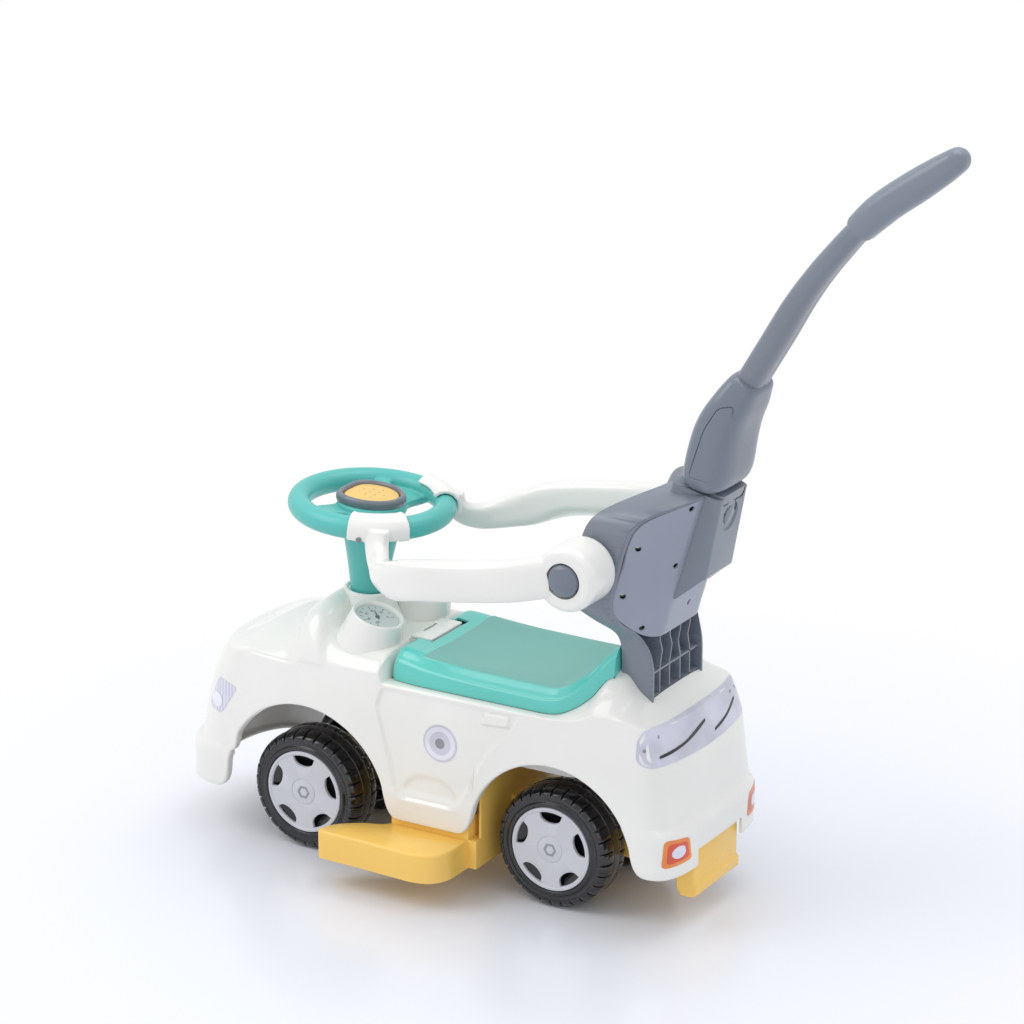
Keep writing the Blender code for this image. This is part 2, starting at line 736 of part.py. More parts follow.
# Floor pan
def footrest_outline(side):
    """Plan of one foot rest: hollow round the front wheel, full at its outer rear corner."""
    root = BODY_HALF_WIDTH - BODY_WALL - GAP
    reach = FOOTREST_REACH
    wheel_clear = [(PAN_FRONT_X, root), (-42 * mm, root + 7 * mm), (-64 * mm, root + 16 * mm),
                   (-86 * mm, root + 34 * mm), (-95 * mm, reach - 14 * mm)]
    outer = [(-90 * mm, reach - 6 * mm), (-40 * mm, reach - 4 * mm), (10 * mm, reach - 1 * mm),
             (38 * mm, reach), (56 * mm, reach - 8 * mm), (PAN_REAR_X - 12 * mm, reach - 25 * mm),
             (PAN_REAR_X - 10 * mm, root)]
    points = [wheel_clear[0]] + [tuple(p) for p in smooth_line(wheel_clear, 10)][1:]
    points += [tuple(p) for p in smooth_line(outer, 13)]
    return [(x, side * y) for x, y in points]


def inset_outline(points, distance):
    """Outline moved inwards by a distance, corner by corner."""
    count = len(points)
    area = sum(points[i][0] * points[(i + 1) % count][1] - points[(i + 1) % count][0] * points[i][1]
               for i in range(count))
    turn = 1 if area > 0 else -1
    result = []
    for index, point in enumerate(points):
        before = Vector(point) - Vector(points[index - 1])
        after = Vector(points[(index + 1) % count]) - Vector(point)
        first = Vector((-before.y, before.x)).normalized() * turn
        second = Vector((-after.y, after.x)).normalized() * turn
        middle = (first + second).normalized()
        result.append(tuple(Vector(point) + middle * distance / max(middle.dot(first), 0.4)))
    return result


def build_floor():
    pan = box((PAN_FRONT_X, PAN_REAR_X), (-WALL_INNER_Y, WALL_INNER_Y), (PAN_BOTTOM, PAN_TOP))
    upstand = box((PAN_FRONT_X, PAN_REAR_X - 10 * mm), (-WALL_INNER_Y, WALL_INNER_Y),
                  (PAN_TOP - 5 * mm, SILL_HEIGHT + 16 * mm))
    join(pan, upstand)
    for side in SIDES.values():
        outline = footrest_outline(side)
        wing = loft([[(x, y, PAN_BOTTOM) for x, y in outline],
                     [(x, y, PAN_TOP - 5 * mm) for x, y in outline],
                     [(x, y, PAN_TOP - 1.2 * mm) for x, y in inset_outline(outline, 1.5 * mm)],
                     [(x, y, PAN_TOP) for x, y in inset_outline(outline, 5 * mm)]])
        join(pan, wing)
    inner_y = WALL_INNER_Y - PAN_WALL
    cut(pan, box((PAN_FRONT_X + PAN_WALL, PAN_REAR_X - 10 * mm - PAN_WALL), (-inner_y, inner_y),
                 (PAN_TOP, SILL_HEIGHT + 60 * mm)))
    for side in SIDES.values():
        hollow = prism(inset_outline(footrest_outline(side), PAN_WALL), "Z",
                       PAN_BOTTOM - 10 * mm, PAN_TOP - PAN_WALL - 2 * mm)
        cut(pan, hollow)
    cut(pan, box((PAN_FRONT_X + PAN_WALL, PAN_REAR_X - PAN_WALL), (-inner_y, inner_y),
                 (PAN_BOTTOM - 10 * mm, PAN_TOP - PAN_WALL - 2 * mm)))
    back = box((PAN_REAR_X - PAN_WALL, PAN_REAR_X), (-96 * mm, 96 * mm),
               (PAN_BOTTOM, PAN_BACK_HEIGHT))
    join(pan, back)
    neck = box((PAN_REAR_X - PAN_WALL - 0.5 * mm, STOP_FRONT_X - GAP),
               (-NECK_HALF_WIDTH, NECK_HALF_WIDTH), (NECK_BOTTOM, NECK_TOP))
    join(pan, neck)
    tongue = box((steer_point(0).x - 34 * mm, PAN_FRONT_X + PAN_WALL + 0.5 * mm),
                 (-TONGUE_HALF_WIDTH, TONGUE_HALF_WIDTH), (TONGUE_BOTTOM, TONGUE_TOP))
    post = box((PAN_FRONT_X, PAN_FRONT_X + PAN_WALL + 3 * mm),
               (-NECK_HALF_WIDTH - 6 * mm, NECK_HALF_WIDTH + 6 * mm), (PAN_TOP - 4 * mm, TONGUE_TOP))
    join(pan, post, tongue)
    cut(pan, box((PAN_REAR_X + 2 * mm, STOP_FRONT_X - PAN_WALL),
                 (-NECK_HALF_WIDTH + PAN_WALL, NECK_HALF_WIDTH - PAN_WALL),
                 (NECK_BOTTOM - 5 * mm, NECK_TOP - PAN_WALL)))
    for place in (REAR_AXLE_X - 32 * mm, REAR_AXLE_X + 32 * mm):
        rib = box((place - 1.2 * mm, place + 1.2 * mm),
                  (-NECK_HALF_WIDTH + 1 * mm, NECK_HALF_WIDTH - 1 * mm),
                  (NECK_BOTTOM, NECK_TOP - 1 * mm))
        join(pan, rib)
    bore = rod((REAR_AXLE_X, -60 * mm, WHEEL_RADIUS), (REAR_AXLE_X, 60 * mm, WHEEL_RADIUS),
               AXLE_RADIUS + GAP)
    shaft_hole = rod(steer_point(-230 * mm), steer_point(-120 * mm), SHAFT_RADIUS + RUNNING)
    cut(pan, bore, shaft_hole)
    pan.name = "floor_pan"
    finish(pan, yellow())


def build_stop():
    profile = [(STOP_FRONT_X, STOP_BOTTOM + 10 * mm), (STOP_FRONT_X + 6 * mm, STOP_BOTTOM),
               (STOP_REAR_X - 3 * mm, STOP_BOTTOM), (STOP_REAR_X + 3 * mm, STOP_BOTTOM + 5 * mm),
               (STOP_REAR_X + 3 * mm, STOP_BOTTOM + 16 * mm), (STOP_REAR_X, STOP_BOTTOM + 18 * mm),
               (STOP_REAR_X, STOP_TOP), (STOP_FRONT_X, STOP_TOP)]
    stop = prism(profile, "Y", -STOP_HALF_WIDTH, STOP_HALF_WIDTH)
    bevel_edges(stop, 3 * mm)
    hollow = box((STOP_FRONT_X + 9 * mm, STOP_REAR_X - PAN_WALL),
                 (-STOP_HALF_WIDTH + PAN_WALL + 2 * mm, STOP_HALF_WIDTH - PAN_WALL - 2 * mm),
                 (STOP_BOTTOM - 5 * mm, STOP_TOP - PAN_WALL - 2 * mm))
    cut(stop, hollow)
    stop.name = "rear_stop_block"
    finish(stop, yellow())


# Wheels
def wheel_profile():
    """Closed (radius, height) profile of a hollow-sided wheel; height runs outwards."""
    half = WHEEL_WIDTH / 2
    bore = AXLE_RADIUS + GAP
    seat = HUBCAP_RADIUS + GAP
    crown = WHEEL_RADIUS / math.cos(math.pi / TYRE_SIDES)
    return [(bore, -half + 2 * mm), (12 * mm, -half + 2 * mm), (16 * mm, half - 24 * mm),
            (crown - 16 * mm, half - 24 * mm), (crown - 13 * mm, -half),
            (crown - 9 * mm, -half), (crown - 1.5 * mm, -half + 7 * mm),
            (crown, -half + 13 * mm), (crown, half - 13 * mm),
            (crown - 1.5 * mm, half - 7 * mm), (crown - 9 * mm, half),
            (seat + 3 * mm, half), (seat, half - HUBCAP_THICKNESS - 1.5 * mm),
            (NUT_RADIUS + 2 * mm, half - HUBCAP_THICKNESS - 14 * mm),
            (bore, half - HUBCAP_THICKNESS - 14 * mm)]


def build_wheel(name, x, side):
    centre = Vector((x, side * TRACK / 2, WHEEL_RADIUS))
    frame = axis_matrix(centre, (0, side, 0))
    wheel = turned(wheel_profile(), TYRE_SIDES, matrix=frame, closed=True)
    wheel.name = "wheel_" + name
    finish(wheel, black(), pivot=centre)

    outer = WHEEL_WIDTH / 2 - 0.5 * mm
    base = outer - HUBCAP_THICKNESS
    cap = turned([(HUBCAP_RADIUS, base), (HUBCAP_RADIUS, outer - 0.8 * mm),
                  (HUBCAP_RADIUS - 2.5 * mm, outer), (15 * mm, outer + 1.2 * mm),
                  (14 * mm, outer + 2.2 * mm)], 20, matrix=frame)
    windows = []
    for step in range(HUBCAP_WINDOWS):
        angle = -side * 2 * math.pi * (step + 0.25) / HUBCAP_WINDOWS
        windows.append(half_moon(frame @ Matrix.Rotation(angle, 4, "Z"), base - 5 * mm,
                                 outer + 5 * mm))
    bm = bmesh.new()
    for item in windows:
        bm.from_mesh(item.data)
        bpy.data.objects.remove(item, do_unlink=True)
    cut(cap, object_from("windows", bm))
    cap.name = "hubcap_" + name
    finish(cap, silver(), pivot=centre)


def half_moon(frame, low, high):
    """Cutter for one hubcap window: rim-side arc closed by a flatter inner curve."""
    radius = HUBCAP_RADIUS - 5 * mm
    spread = math.radians(23)
    points = []
    for step in range(5):
        angle = -spread + 2 * spread * step / 4
        points.append((radius * math.cos(angle), radius * math.sin(angle)))
    inner = radius * math.cos(spread) - 9 * mm
    points += [(inner + 4 * mm, radius * math.sin(spread) * 0.72), (inner, 0),
               (inner + 4 * mm, -radius * math.sin(spread) * 0.72)]
    return loft([[frame @ Vector((x, y, level)) for x, y in points] for level in (low, high)])


def build_axle(name, x):
    end = TRACK / 2 + WHEEL_WIDTH / 2 - HUBCAP_THICKNESS - 4 * mm
    axle = rod((x, -end, WHEEL_RADIUS), (x, end, WHEEL_RADIUS), AXLE_RADIUS, 12)
    axle.name = name + "_axle"
    finish(axle, steel())
    seat = TRACK / 2 + WHEEL_WIDTH / 2 - HUBCAP_THICKNESS - 14 * mm
    hub = TRACK / 2 - WHEEL_WIDTH / 2 + 2 * mm
    bore = AXLE_RADIUS + GAP
    for side_name, side in SIDES.items():
        start = Vector((x, side * (seat + GAP), WHEEL_RADIUS))
        frame = axis_matrix(start, (0, side, 0))
        nut = turned([(bore, 0), (NUT_RADIUS, 0), (NUT_RADIUS - 2 * mm, NUT_LENGTH - 1 * mm),
                      (bore, NUT_LENGTH - 1 * mm)], 12, matrix=frame, closed=True)
        nut.name = "push_nut_" + name + "_" + side_name
        finish(nut, steel())
        frame = axis_matrix((x, side * (NECK_HALF_WIDTH + GAP), WHEEL_RADIUS), (0, side, 0))
        reach = hub - NECK_HALF_WIDTH - 2 * GAP
        spacer = turned([(bore, 0), (8 * mm, 0), (8 * mm, reach), (bore, reach)],
                        12, matrix=frame, closed=True)
        spacer.name = "spacer_" + name + "_" + side_name
        finish(spacer, black())


# Steering
def build_steering():
    frame = steer_matrix(RIM_HEIGHT)
    hub_rise = -RIM_TUBE * 0.2
    bm = bmesh.new()
    rings = []
    steps = 26
    sides = 8
    for step in range(steps):
        angle = 2 * math.pi * step / steps
        ring = []
        for corner in range(sides):
            turn = 2 * math.pi * corner / sides
            radius = RIM_RADIUS + RIM_TUBE * math.cos(turn)
            ring.append(bm.verts.new(frame @ Vector((radius * math.cos(angle),
                                                     radius * math.sin(angle),
                                                     RIM_TUBE * math.sin(turn)))))
        rings.append(ring)
    for step in range(steps):
        this, other = rings[step], rings[(step + 1) % steps]
        for corner in range(sides):
            after = (corner + 1) % sides
            bm.faces.new((this[corner], this[after], other[after], other[corner]))
    wheel = object_from("steering_wheel", bm)
    spoke_depth = 9 * mm
    for side in SIDES.values():
        outline = [(-34 * mm, side * 20 * mm), (-44 * mm, side * RIM_RADIUS * 0.84),
                   (0, side * RIM_RADIUS * 0.99), (44 * mm, side * RIM_RADIUS * 0.84),
                   (34 * mm, side * 20 * mm), (0, side * 8 * mm)]
        spoke = loft([[frame @ Vector((x, y, hub_rise + level)) for x, y in outline]
                      for level in (-spoke_depth, 0)])
        join(wheel, spoke)
    hub = turned([(COLUMN_HEAD_RADIUS, -RIM_TUBE - 6 * mm), (HORN_RADIUS + 2 * mm, -4 * mm),
                  (HORN_RADIUS + 1 * mm, 5 * mm)], 20, matrix=frame)
    join(wheel, hub)
    hollow = turned([(HORN_RADIUS - 12 * mm, -HUB_FLOOR), (HORN_RADIUS - 9 * mm, 9 * mm)],
                    16, matrix=frame)
    cut(wheel, hollow)
    bore = rod(steer_point(RIM_HEIGHT - 60 * mm), steer_point(RIM_HEIGHT + 20 * mm),
               SHAFT_RADIUS + BORE_GAP)
    cut(wheel, bore)
    finish(wheel, teal(), pivot=steer_point(RIM_HEIGHT))

    foot = -8 * mm
    head = RIM_HEIGHT - RIM_TUBE - 6 * mm - GAP
    column = turned([(COLUMN_FOOT_RADIUS, foot), (COLUMN_FOOT_RADIUS + 0.6 * mm, 6 * mm),
                     (COLUMN_FOOT_RADIUS + 4 * mm, 26 * mm), (COLUMN_HEAD_RADIUS - 3 * mm, 52 * mm),
                     (COLUMN_HEAD_RADIUS, head), (SHAFT_RADIUS + BORE_GAP, head),
                     (SHAFT_RADIUS + BORE_GAP, head - 5 * mm),
                     (COLUMN_HEAD_RADIUS - 4 * mm, head - 6 * mm),
                     (COLUMN_FOOT_RADIUS - 3 * mm, 16 * mm), (COLUMN_FOOT_RADIUS - 3 * mm, foot)],
                    18, matrix=steer_matrix(), closed=True)
    column.name = "steering_column"
    finish(column, teal(), pivot=steer_point(0))

    foot_point = steer_point((80 * mm - STEER_HEIGHT) / math.cos(STEER_TILT))
    shaft = rod(foot_point, steer_point(RIM_HEIGHT - HUB_FLOOR - 0.5 * mm), SHAFT_RADIUS, 14)
    shaft.name = "steering_shaft"
    finish(shaft, steel(), pivot=steer_point(0))

    bracket = box((FRONT_AXLE_X - 14 * mm, foot_point.x + 16 * mm),
                  (-NECK_HALF_WIDTH, NECK_HALF_WIDTH), (WHEEL_RADIUS - 14 * mm, TONGUE_BOTTOM - 6 * mm))
    bevel_edges(bracket, 4 * mm)
    shaft_seat = rod(foot_point - steer_direction() * 0.4 * mm, steer_point(0),
                     SHAFT_RADIUS + BORE_GAP, 14)
    bore = rod((FRONT_AXLE_X, -60 * mm, WHEEL_RADIUS), (FRONT_AXLE_X, 60 * mm, WHEEL_RADIUS),
               AXLE_RADIUS + GAP)
    cut(bracket, shaft_seat, bore)
    bracket.name = "front_axle_bracket"
    finish(bracket, black(), pivot=steer_point(0))


def horn_outline(scale):
    """Rounded shield, narrower towards the front of the car."""
    points = []
    for step in range(24):
        angle = 2 * math.pi * step / 24
        stretch = 1 - 0.06 * math.cos(3 * angle) + 0.02 * math.cos(2 * angle)
        points.append((scale * stretch * math.cos(angle), scale * stretch * math.sin(angle)))
    return points


def build_horn():
    frame = steer_matrix(RIM_HEIGHT)
    seat = 5 * mm + GAP

    def layer(scale, height):
        return [frame @ Vector((x, y, height)) for x, y in horn_outline(scale)]

    ring = loft([layer(HORN_RADIUS, seat), layer(HORN_RADIUS, HORN_HEIGHT - 2 * mm),
                 layer(HORN_RADIUS - 2 * mm, HORN_HEIGHT)])
    opening = loft([layer(HORN_RADIUS - HORN_FRAME, seat - 5 * mm),
                    layer(HORN_RADIUS - HORN_FRAME, HORN_HEIGHT + 5 * mm)])
    cut(ring, opening)
    ring.name = "horn_ring"
    finish(ring, grey(), pivot=steer_point(RIM_HEIGHT))
    pad_edge = HORN_RADIUS - HORN_FRAME - RUNNING
    pad = loft([layer(pad_edge, seat + HORN_TRAVEL + 1 * mm), layer(pad_edge, HORN_HEIGHT - 1 * mm),
                layer(pad_edge - 5 * mm, HORN_HEIGHT + 1.5 * mm),
                layer(pad_edge * 0.5, HORN_HEIGHT + 2.5 * mm)])
    pad.name = "horn_pad"
    finish(pad, yellow(), pivot=steer_point(RIM_HEIGHT))
    sound = turned([(HORN_RADIUS - 15 * mm, GAP - HUB_FLOOR), (HORN_RADIUS - 15 * mm, 3 * mm)],
                   16, matrix=frame)
    sound.name = "sound_box"
    finish(sound, black(), pivot=steer_point(RIM_HEIGHT))


def build_dials():
    radius = POD_RADIUS - 3.5 * mm - 2 * GAP
    floor = -POD_RECESS + GAP
    for name, side in SIDES.items():
        dial = turned([(radius, floor), (radius, floor + DIAL_THICKNESS)], 24,
                      matrix=pod_matrix(side))
        dial.name = "gauge_dial_" + name
        finish(dial, silver())


# Guard arms
def arm_path(side):
    """Centre line of an arm, from the cuff on the rim back to the pivot."""
    rim = steer_matrix(RIM_HEIGHT)
    reach = RIM_RADIUS + RIM_TUBE + RUNNING + CUFF_WALL * 0.6
    start = rim @ Vector((reach * math.cos(CUFF_ANGLE), reach * math.sin(CUFF_ANGLE), -2 * mm))
    foot = start.z - ARM_DROP
    climb = PIVOT_HEIGHT - foot
    points = [(start.x, start.y, start.z),
              (start.x - 2 * mm, start.y + 3 * mm, start.z - 0.6 * ARM_DROP),
              (start.x + 8 * mm, start.y + 13 * mm, start.z - 0.87 * ARM_DROP),
              (-38 * mm, ARM_Y - 38 * mm, foot), (-4 * mm, ARM_Y - 14 * mm, foot + 0.14 * climb),
              (38 * mm, ARM_Y, foot + 0.36 * climb), (95 * mm, ARM_Y, foot + 0.55 * climb),
              (150 * mm, ARM_Y - 2 * mm, foot + 0.75 * climb),
              (PIVOT_X - 8 * mm, ARM_Y - ARM_WIDTH / 2 - 4 * mm, PIVOT_HEIGHT)]
    return [Vector((x, side * y, z)) for x, y, z in points]


def build_arm(name, side):
    path = [Vector(point) for point in smooth_line(arm_path(side), 13)]
    rings = []
    for index, point in enumerate(path):
        before = path[max(index - 1, 0)]
        after = path[min(index + 1, len(path) - 1)]
        along = (after - before).normalized()
        across = Vector((0, side, 0))
        across = (across - along * across.dot(along)).normalized()
        up = along.cross(across)
        share = index / (len(path) - 1)
        height = ARM_HEIGHT * curve_value(share, [0, 0.15, 0.4, 1], [0.55, 0.66, 0.96, 1.0])
        width = ARM_WIDTH * curve_value(share, [0, 0.2, 0.5, 1], [0.34, 0.66, 1.0, 1.0])
        slant = 0.3 * curve_value(share, [0, 0.3, 0.5, 1], [0, 0, 1, 1])
        ring = []
        for a, b in rounded_rectangle(width, height, width * 0.32, 1):
            lift = slant * height * max(0.5 - b / height, 0) * (0.5 - a / width)
            ring.append(point + across * a + up * (b + 2 * lift))
        rings.append(ring)
    arm = loft(rings)
    boss_inner = REST_HALF_WIDTH + 2 * mm
    boss = turned([(BOSS_RADIUS - 6 * mm, boss_inner), (BOSS_RADIUS, boss_inner + 7 * mm),
                   (BOSS_RADIUS, BOSS_OUTER_Y - 5 * mm), (BOSS_RADIUS - 5 * mm, BOSS_OUTER_Y)],
                  20, matrix=axis_matrix((PIVOT_X, 0, PIVOT_HEIGHT), (0, side, 0)))
    join(arm, boss)
    recess = turned([(BUTTON_RADIUS + 1.5 * mm, BOSS_OUTER_Y - 8 * mm),
                     (BUTTON_RADIUS + 1.5 * mm, BOSS_OUTER_Y + 8 * mm)],
                    16, matrix=axis_matrix((PIVOT_X, 0, PIVOT_HEIGHT), (0, side, 0)))
    bore = rod((PIVOT_X, side * 60 * mm, PIVOT_HEIGHT), (PIVOT_X, side * 160 * mm, PIVOT_HEIGHT),
               PIVOT_RADIUS + BORE_GAP)
    cuff = build_cuff(side)
    join(arm, cuff)
    cut(arm, recess, bore, rim_clearance(side))
    arm.name = "guard_arm_" + name
    finish(arm, white(), pivot=(PIVOT_X, 0, PIVOT_HEIGHT))

    button = turned([(PIVOT_RADIUS, REST_HALF_WIDTH - REST_WALL - 12 * mm),
                     (PIVOT_RADIUS, BOSS_OUTER_Y - 8 * mm + GAP),
                     (BUTTON_RADIUS, BOSS_OUTER_Y - 8 * mm + GAP),
                     (BUTTON_RADIUS, BOSS_OUTER_Y - 1 * mm),
                     (BUTTON_RADIUS * 0.75, BOSS_OUTER_Y + 3.5 * mm),
                     (BUTTON_RADIUS * 0.35, BOSS_OUTER_Y + 5.5 * mm)],
                    14, matrix=axis_matrix((PIVOT_X, 0, PIVOT_HEIGHT), (0, side, 0)))
    button.name = "arm_pivot_pin_" + name
    finish(button, grey())


def build_cuff(side):
    """Hook that lies over the rim: an arch in section, with a skirt on the outside."""
    rim = steer_matrix(RIM_HEIGHT)
    start = math.radians(40)
    skirt = -8 * mm
    rings = []
    for step in range(6):
        angle = side * (CUFF_ANGLE + CUFF_SPREAD * (step / 2.5 - 1))
        section = []
        for radius, order in ((RIM_TUBE + RUNNING, 1), (RIM_TUBE + RUNNING + CUFF_WALL, -1)):
            arc = []
            for corner in range(7):
                turn = start + (math.pi - start) * corner / 6
                arc.append((RIM_RADIUS - radius * math.cos(turn), radius * math.sin(turn)))
            arc.append((RIM_RADIUS + radius, skirt))
            section += arc[::order]
        rings.append([rim @ Vector((r * math.cos(angle), r * math.sin(angle), z))
                      for r, z in section])
    return loft(rings)


def rim_clearance(side):
    """Space that the rim needs under the cuff, drawn down so that the arm lifts off."""
    rim = steer_matrix(RIM_HEIGHT)
    reach = RIM_TUBE + RUNNING
    rings = []
    for step in range(7):
        angle = side * (CUFF_ANGLE + CUFF_SPREAD * 1.6 * (step / 3 - 1))
        section = [(RIM_RADIUS - reach, -40 * mm)]
        for corner in range(7):
            turn = math.pi * corner / 6
            section.append((RIM_RADIUS - reach * math.cos(turn), reach * math.sin(turn)))
        section.append((RIM_RADIUS + reach, -40 * mm))
        rings.append([rim @ Vector((r * math.cos(angle), r * math.sin(angle), z))
                      for r, z in section])
    return loft(rings)


# Backrest
def rest_rear(y, z):
    """X of the backrest's rear surface: upright foot, leaning and wrapping above it."""
    lean = max(z - REST_BEND, 0) * math.tan(REST_LEAN)
    flat = SOCKET_HALF_WIDTH
    wrap = max(abs(y) - flat, 0) / (REST_HALF_WIDTH - flat)
    share = min(max((z - REST_BEND + 40 * mm) / (60 * mm), 0), 1)
    return REST_REAR_X + lean - REST_WRAP * wrap ** 1.7 * share


def rest_front(y, z):
    """X of the backrest's front surface, hollow towards the child's back."""
    lean = max(z - REST_BEND, 0) * math.tan(REST_LEAN)
    wrap = (abs(y) / REST_HALF_WIDTH) ** 2
    above = max(z - REST_BEND + 1 * mm, 0)
    forward = REST_WING * wrap * min(above / (40 * mm), 1)
    belly = REST_BELLY * min(above / (50 * mm), 1)
    return REST_REAR_X - REST_DEPTH + lean - forward - belly


def rest_outline(inset=0.0, bottom=None):
    """Half-turn outline of the backrest seen from behind, as (y, z)."""
    foot = REST_FOOT_HALF_WIDTH
    wide = REST_HALF_WIDTH
    low = SEAT_RIM_HEIGHT + 6 * mm if bottom is None else bottom
    right = [(foot, low), (foot, COVER_BOTTOM - 18 * mm), (foot + 8 * mm, COVER_BOTTOM - 2 * mm),
             (wide - 8 * mm, COVER_BOTTOM + 14 * mm), (wide, COVER_BOTTOM + 36 * mm),
             (wide, REST_TOP - 92 * mm), (wide - 2 * mm, REST_TOP - 58 * mm),
             (wide - 12 * mm, REST_TOP - 34 * mm), (wide - 34 * mm, REST_TOP - 18 * mm),
             (SOCKET_HALF_WIDTH, REST_TOP - 8 * mm), (0, REST_TOP)]
    if bottom is not None:
        right = [(foot + 3 * mm, low)] + right[2:]
    points = right + [(-y, z) for y, z in right[-2::-1]]
    return inset_outline(points, inset) if inset else points


def rest_slab(front_shift, rear_shift):
    """Solid between two sheets that follow the backrest's front and rear surfaces."""
    bm = bmesh.new()
    columns = 12
    rows = 10
    reach = REST_HALF_WIDTH + 13.1 * mm
    low = SEAT_RIM_HEIGHT - 3.3 * mm
    high = REST_TOP + 12 * mm
    sheets = []
    for surface, shift in ((rest_front, front_shift), (rest_rear, rear_shift)):
        sheet = []
        for row in range(rows):
            z = low + (high - low) * row / (rows - 1)
            line = []
            for column in range(columns):
                y = -reach + 2 * reach * column / (columns - 1)
                line.append(bm.verts.new((surface(y, z) + shift, y, z)))
            sheet.append(line)
        sheets.append(sheet)
    for sheet in sheets:
        for row in range(rows - 1):
            for column in range(columns - 1):
                bm.faces.new((sheet[row][column], sheet[row][column + 1],
                              sheet[row + 1][column + 1], sheet[row + 1][column]))
    front, rear = sheets
    for column in range(columns - 1):
        for row in (0, rows - 1):
            bm.faces.new((front[row][column], front[row][column + 1],
                          rear[row][column + 1], rear[row][column]))
    for row in range(rows - 1):
        for column in (0, columns - 1):
            bm.faces.new((front[row][column], front[row + 1][column],
                          rear[row + 1][column], rear[row][column]))
    bmesh.ops.triangulate(bm, faces=bm.faces)
    return object_from("slab", bm)


def rest_solid(front_shift, rear_shift, inset, bottom=None):
    solid = prism(rest_outline(inset, bottom), "X", REST_REAR_X - 150 * mm,
                  REST_REAR_X + 150 * mm)
    return combine(solid, rest_slab(front_shift, rear_shift), "INTERSECT")


def socket_direction():
    return Vector((math.sin(HANDLE_LEAN), 0, math.cos(HANDLE_LEAN)))


def socket_frame():
    """Frame at the middle of the socket's mouth, Z up along the handle."""
    mouth = Vector((SOCKET_REAR_X - SOCKET_DEPTH / 2, 0, SOCKET_TOP))
    return axis_matrix(mouth, socket_direction())


def socket_block(grow, low, high):
    """Rounded bar along the handle's line; grow enlarges its section."""
    frame = socket_frame()
    section = rounded_rectangle(SOCKET_DEPTH + 2 * grow, 2 * SOCKET_HALF_WIDTH + 2 * grow,
                                9 * mm + grow, 3)
    return loft([[frame @ Vector((x, y, level)) for x, y in section] for level in (low, high)])


def lobe_room():
    """Space above the socket that the handle's wide foot needs."""
    frame = socket_frame()
    section = rounded_rectangle(LOBE_DEPTH + 8 * mm, LOBE_WIDTH + 4 * mm, 6 * mm, 1)
    return loft([[frame @ Vector((x, y, level)) for x, y in section]
                 for level in (0.5 * mm, 80 * mm)])


def build_backrest():
    shell = rest_solid(0, 0, 0.0)
    cut(shell, rest_solid(REST_WALL, 40 * mm, REST_WALL))
    floor = SEAT_RIM_HEIGHT + 39 * mm
    shelf = floor + 15 * mm
    ribs = []
    rib_half = 1.1 * mm
    ribs.append(box((180 * mm, 290 * mm), (-REST_FOOT_HALF_WIDTH, REST_FOOT_HALF_WIDTH),
                    (shelf - rib_half, shelf + rib_half)))
    ribs.append(box((180 * mm, 290 * mm), (-REST_FOOT_HALF_WIDTH, REST_FOOT_HALF_WIDTH),
                    (floor - 14 * mm, floor - 11 * mm)))
    for y in (-34 * mm, -12 * mm, 12 * mm, 34 * mm):
        ribs.append(box((150 * mm, 300 * mm), (y - rib_half, y + rib_half),
                        (floor - 12 * mm, COVER_BOTTOM + 40 * mm)))
    for rib in ribs:
        combine(rib, rest_solid(0.5 * mm, -COVER_THICKNESS - 1 * mm, 0.5 * mm), "INTERSECT")
        join(shell, rib)
    for side in SIDES.values():
        lug = turned([(BOSS_RADIUS - 8 * mm, REST_HALF_WIDTH - 16 * mm),
                      (BOSS_RADIUS - 8 * mm, REST_HALF_WIDTH)], 24,
                     matrix=axis_matrix((PIVOT_X, 0, PIVOT_HEIGHT), (0, side, 0)))
        join(shell, lug)
        cut(shell, rod((PIVOT_X, side * REST_HALF_WIDTH / 2, PIVOT_HEIGHT),
                       (PIVOT_X, side * (REST_HALF_WIDTH + 20 * mm), PIVOT_HEIGHT),
                       PIVOT_RADIUS + BORE_GAP))
    cut(shell, body_solid(GAP, "rest_seat"))
    cut(shell, socket_block(GAP, SOCKET_BOTTOM - SOCKET_TOP - 20 * mm, 40 * mm))
    cut(shell, lobe_room())
    shell.name = "backrest_shell"
    finish(shell, grey())

    cover = rest_solid(0, 0, REST_WALL + GAP, bottom=COVER_BOTTOM)
    cut(cover, rest_slab(-40 * mm, -COVER_THICKNESS))
    cut(cover, socket_block(GAP, SOCKET_BOTTOM - SOCKET_TOP - 20 * mm, 60 * mm))
    cut(cover, lobe_room())
    cover.name = "backrest_cover"
    finish(cover, grey())


def build_socket():
    block = socket_block(0, SOCKET_BOTTOM - SOCKET_TOP, 0)
    pocket = socket_block(-SOCKET_WALL, -TONGUE_LENGTH - 3 * mm, 20 * mm)
    cut(block, pocket)
    block.name = "handle_socket"
    finish(block, grey())


# Push handle
def handle_line():
    """Centre line of the handle in the car's middle plane, from the lobe to the grip's end."""
    start = socket_frame() @ Vector((-2 * mm, 0, 2 * mm))
    # steps along the car and up, from the rear top corner of the socket
    line = [(-12.5, 75), (5.5, 114), (23, 145), (47, 186), (70, 226), (93, 260), (115, 288),
            (139, 316), (165, 341), (197, 365), (227, 387), (251, 405)]
    return [(start.x, start.z)] + [(SOCKET_REAR_X + x * mm, SOCKET_TOP + z * mm) for x, z in line]


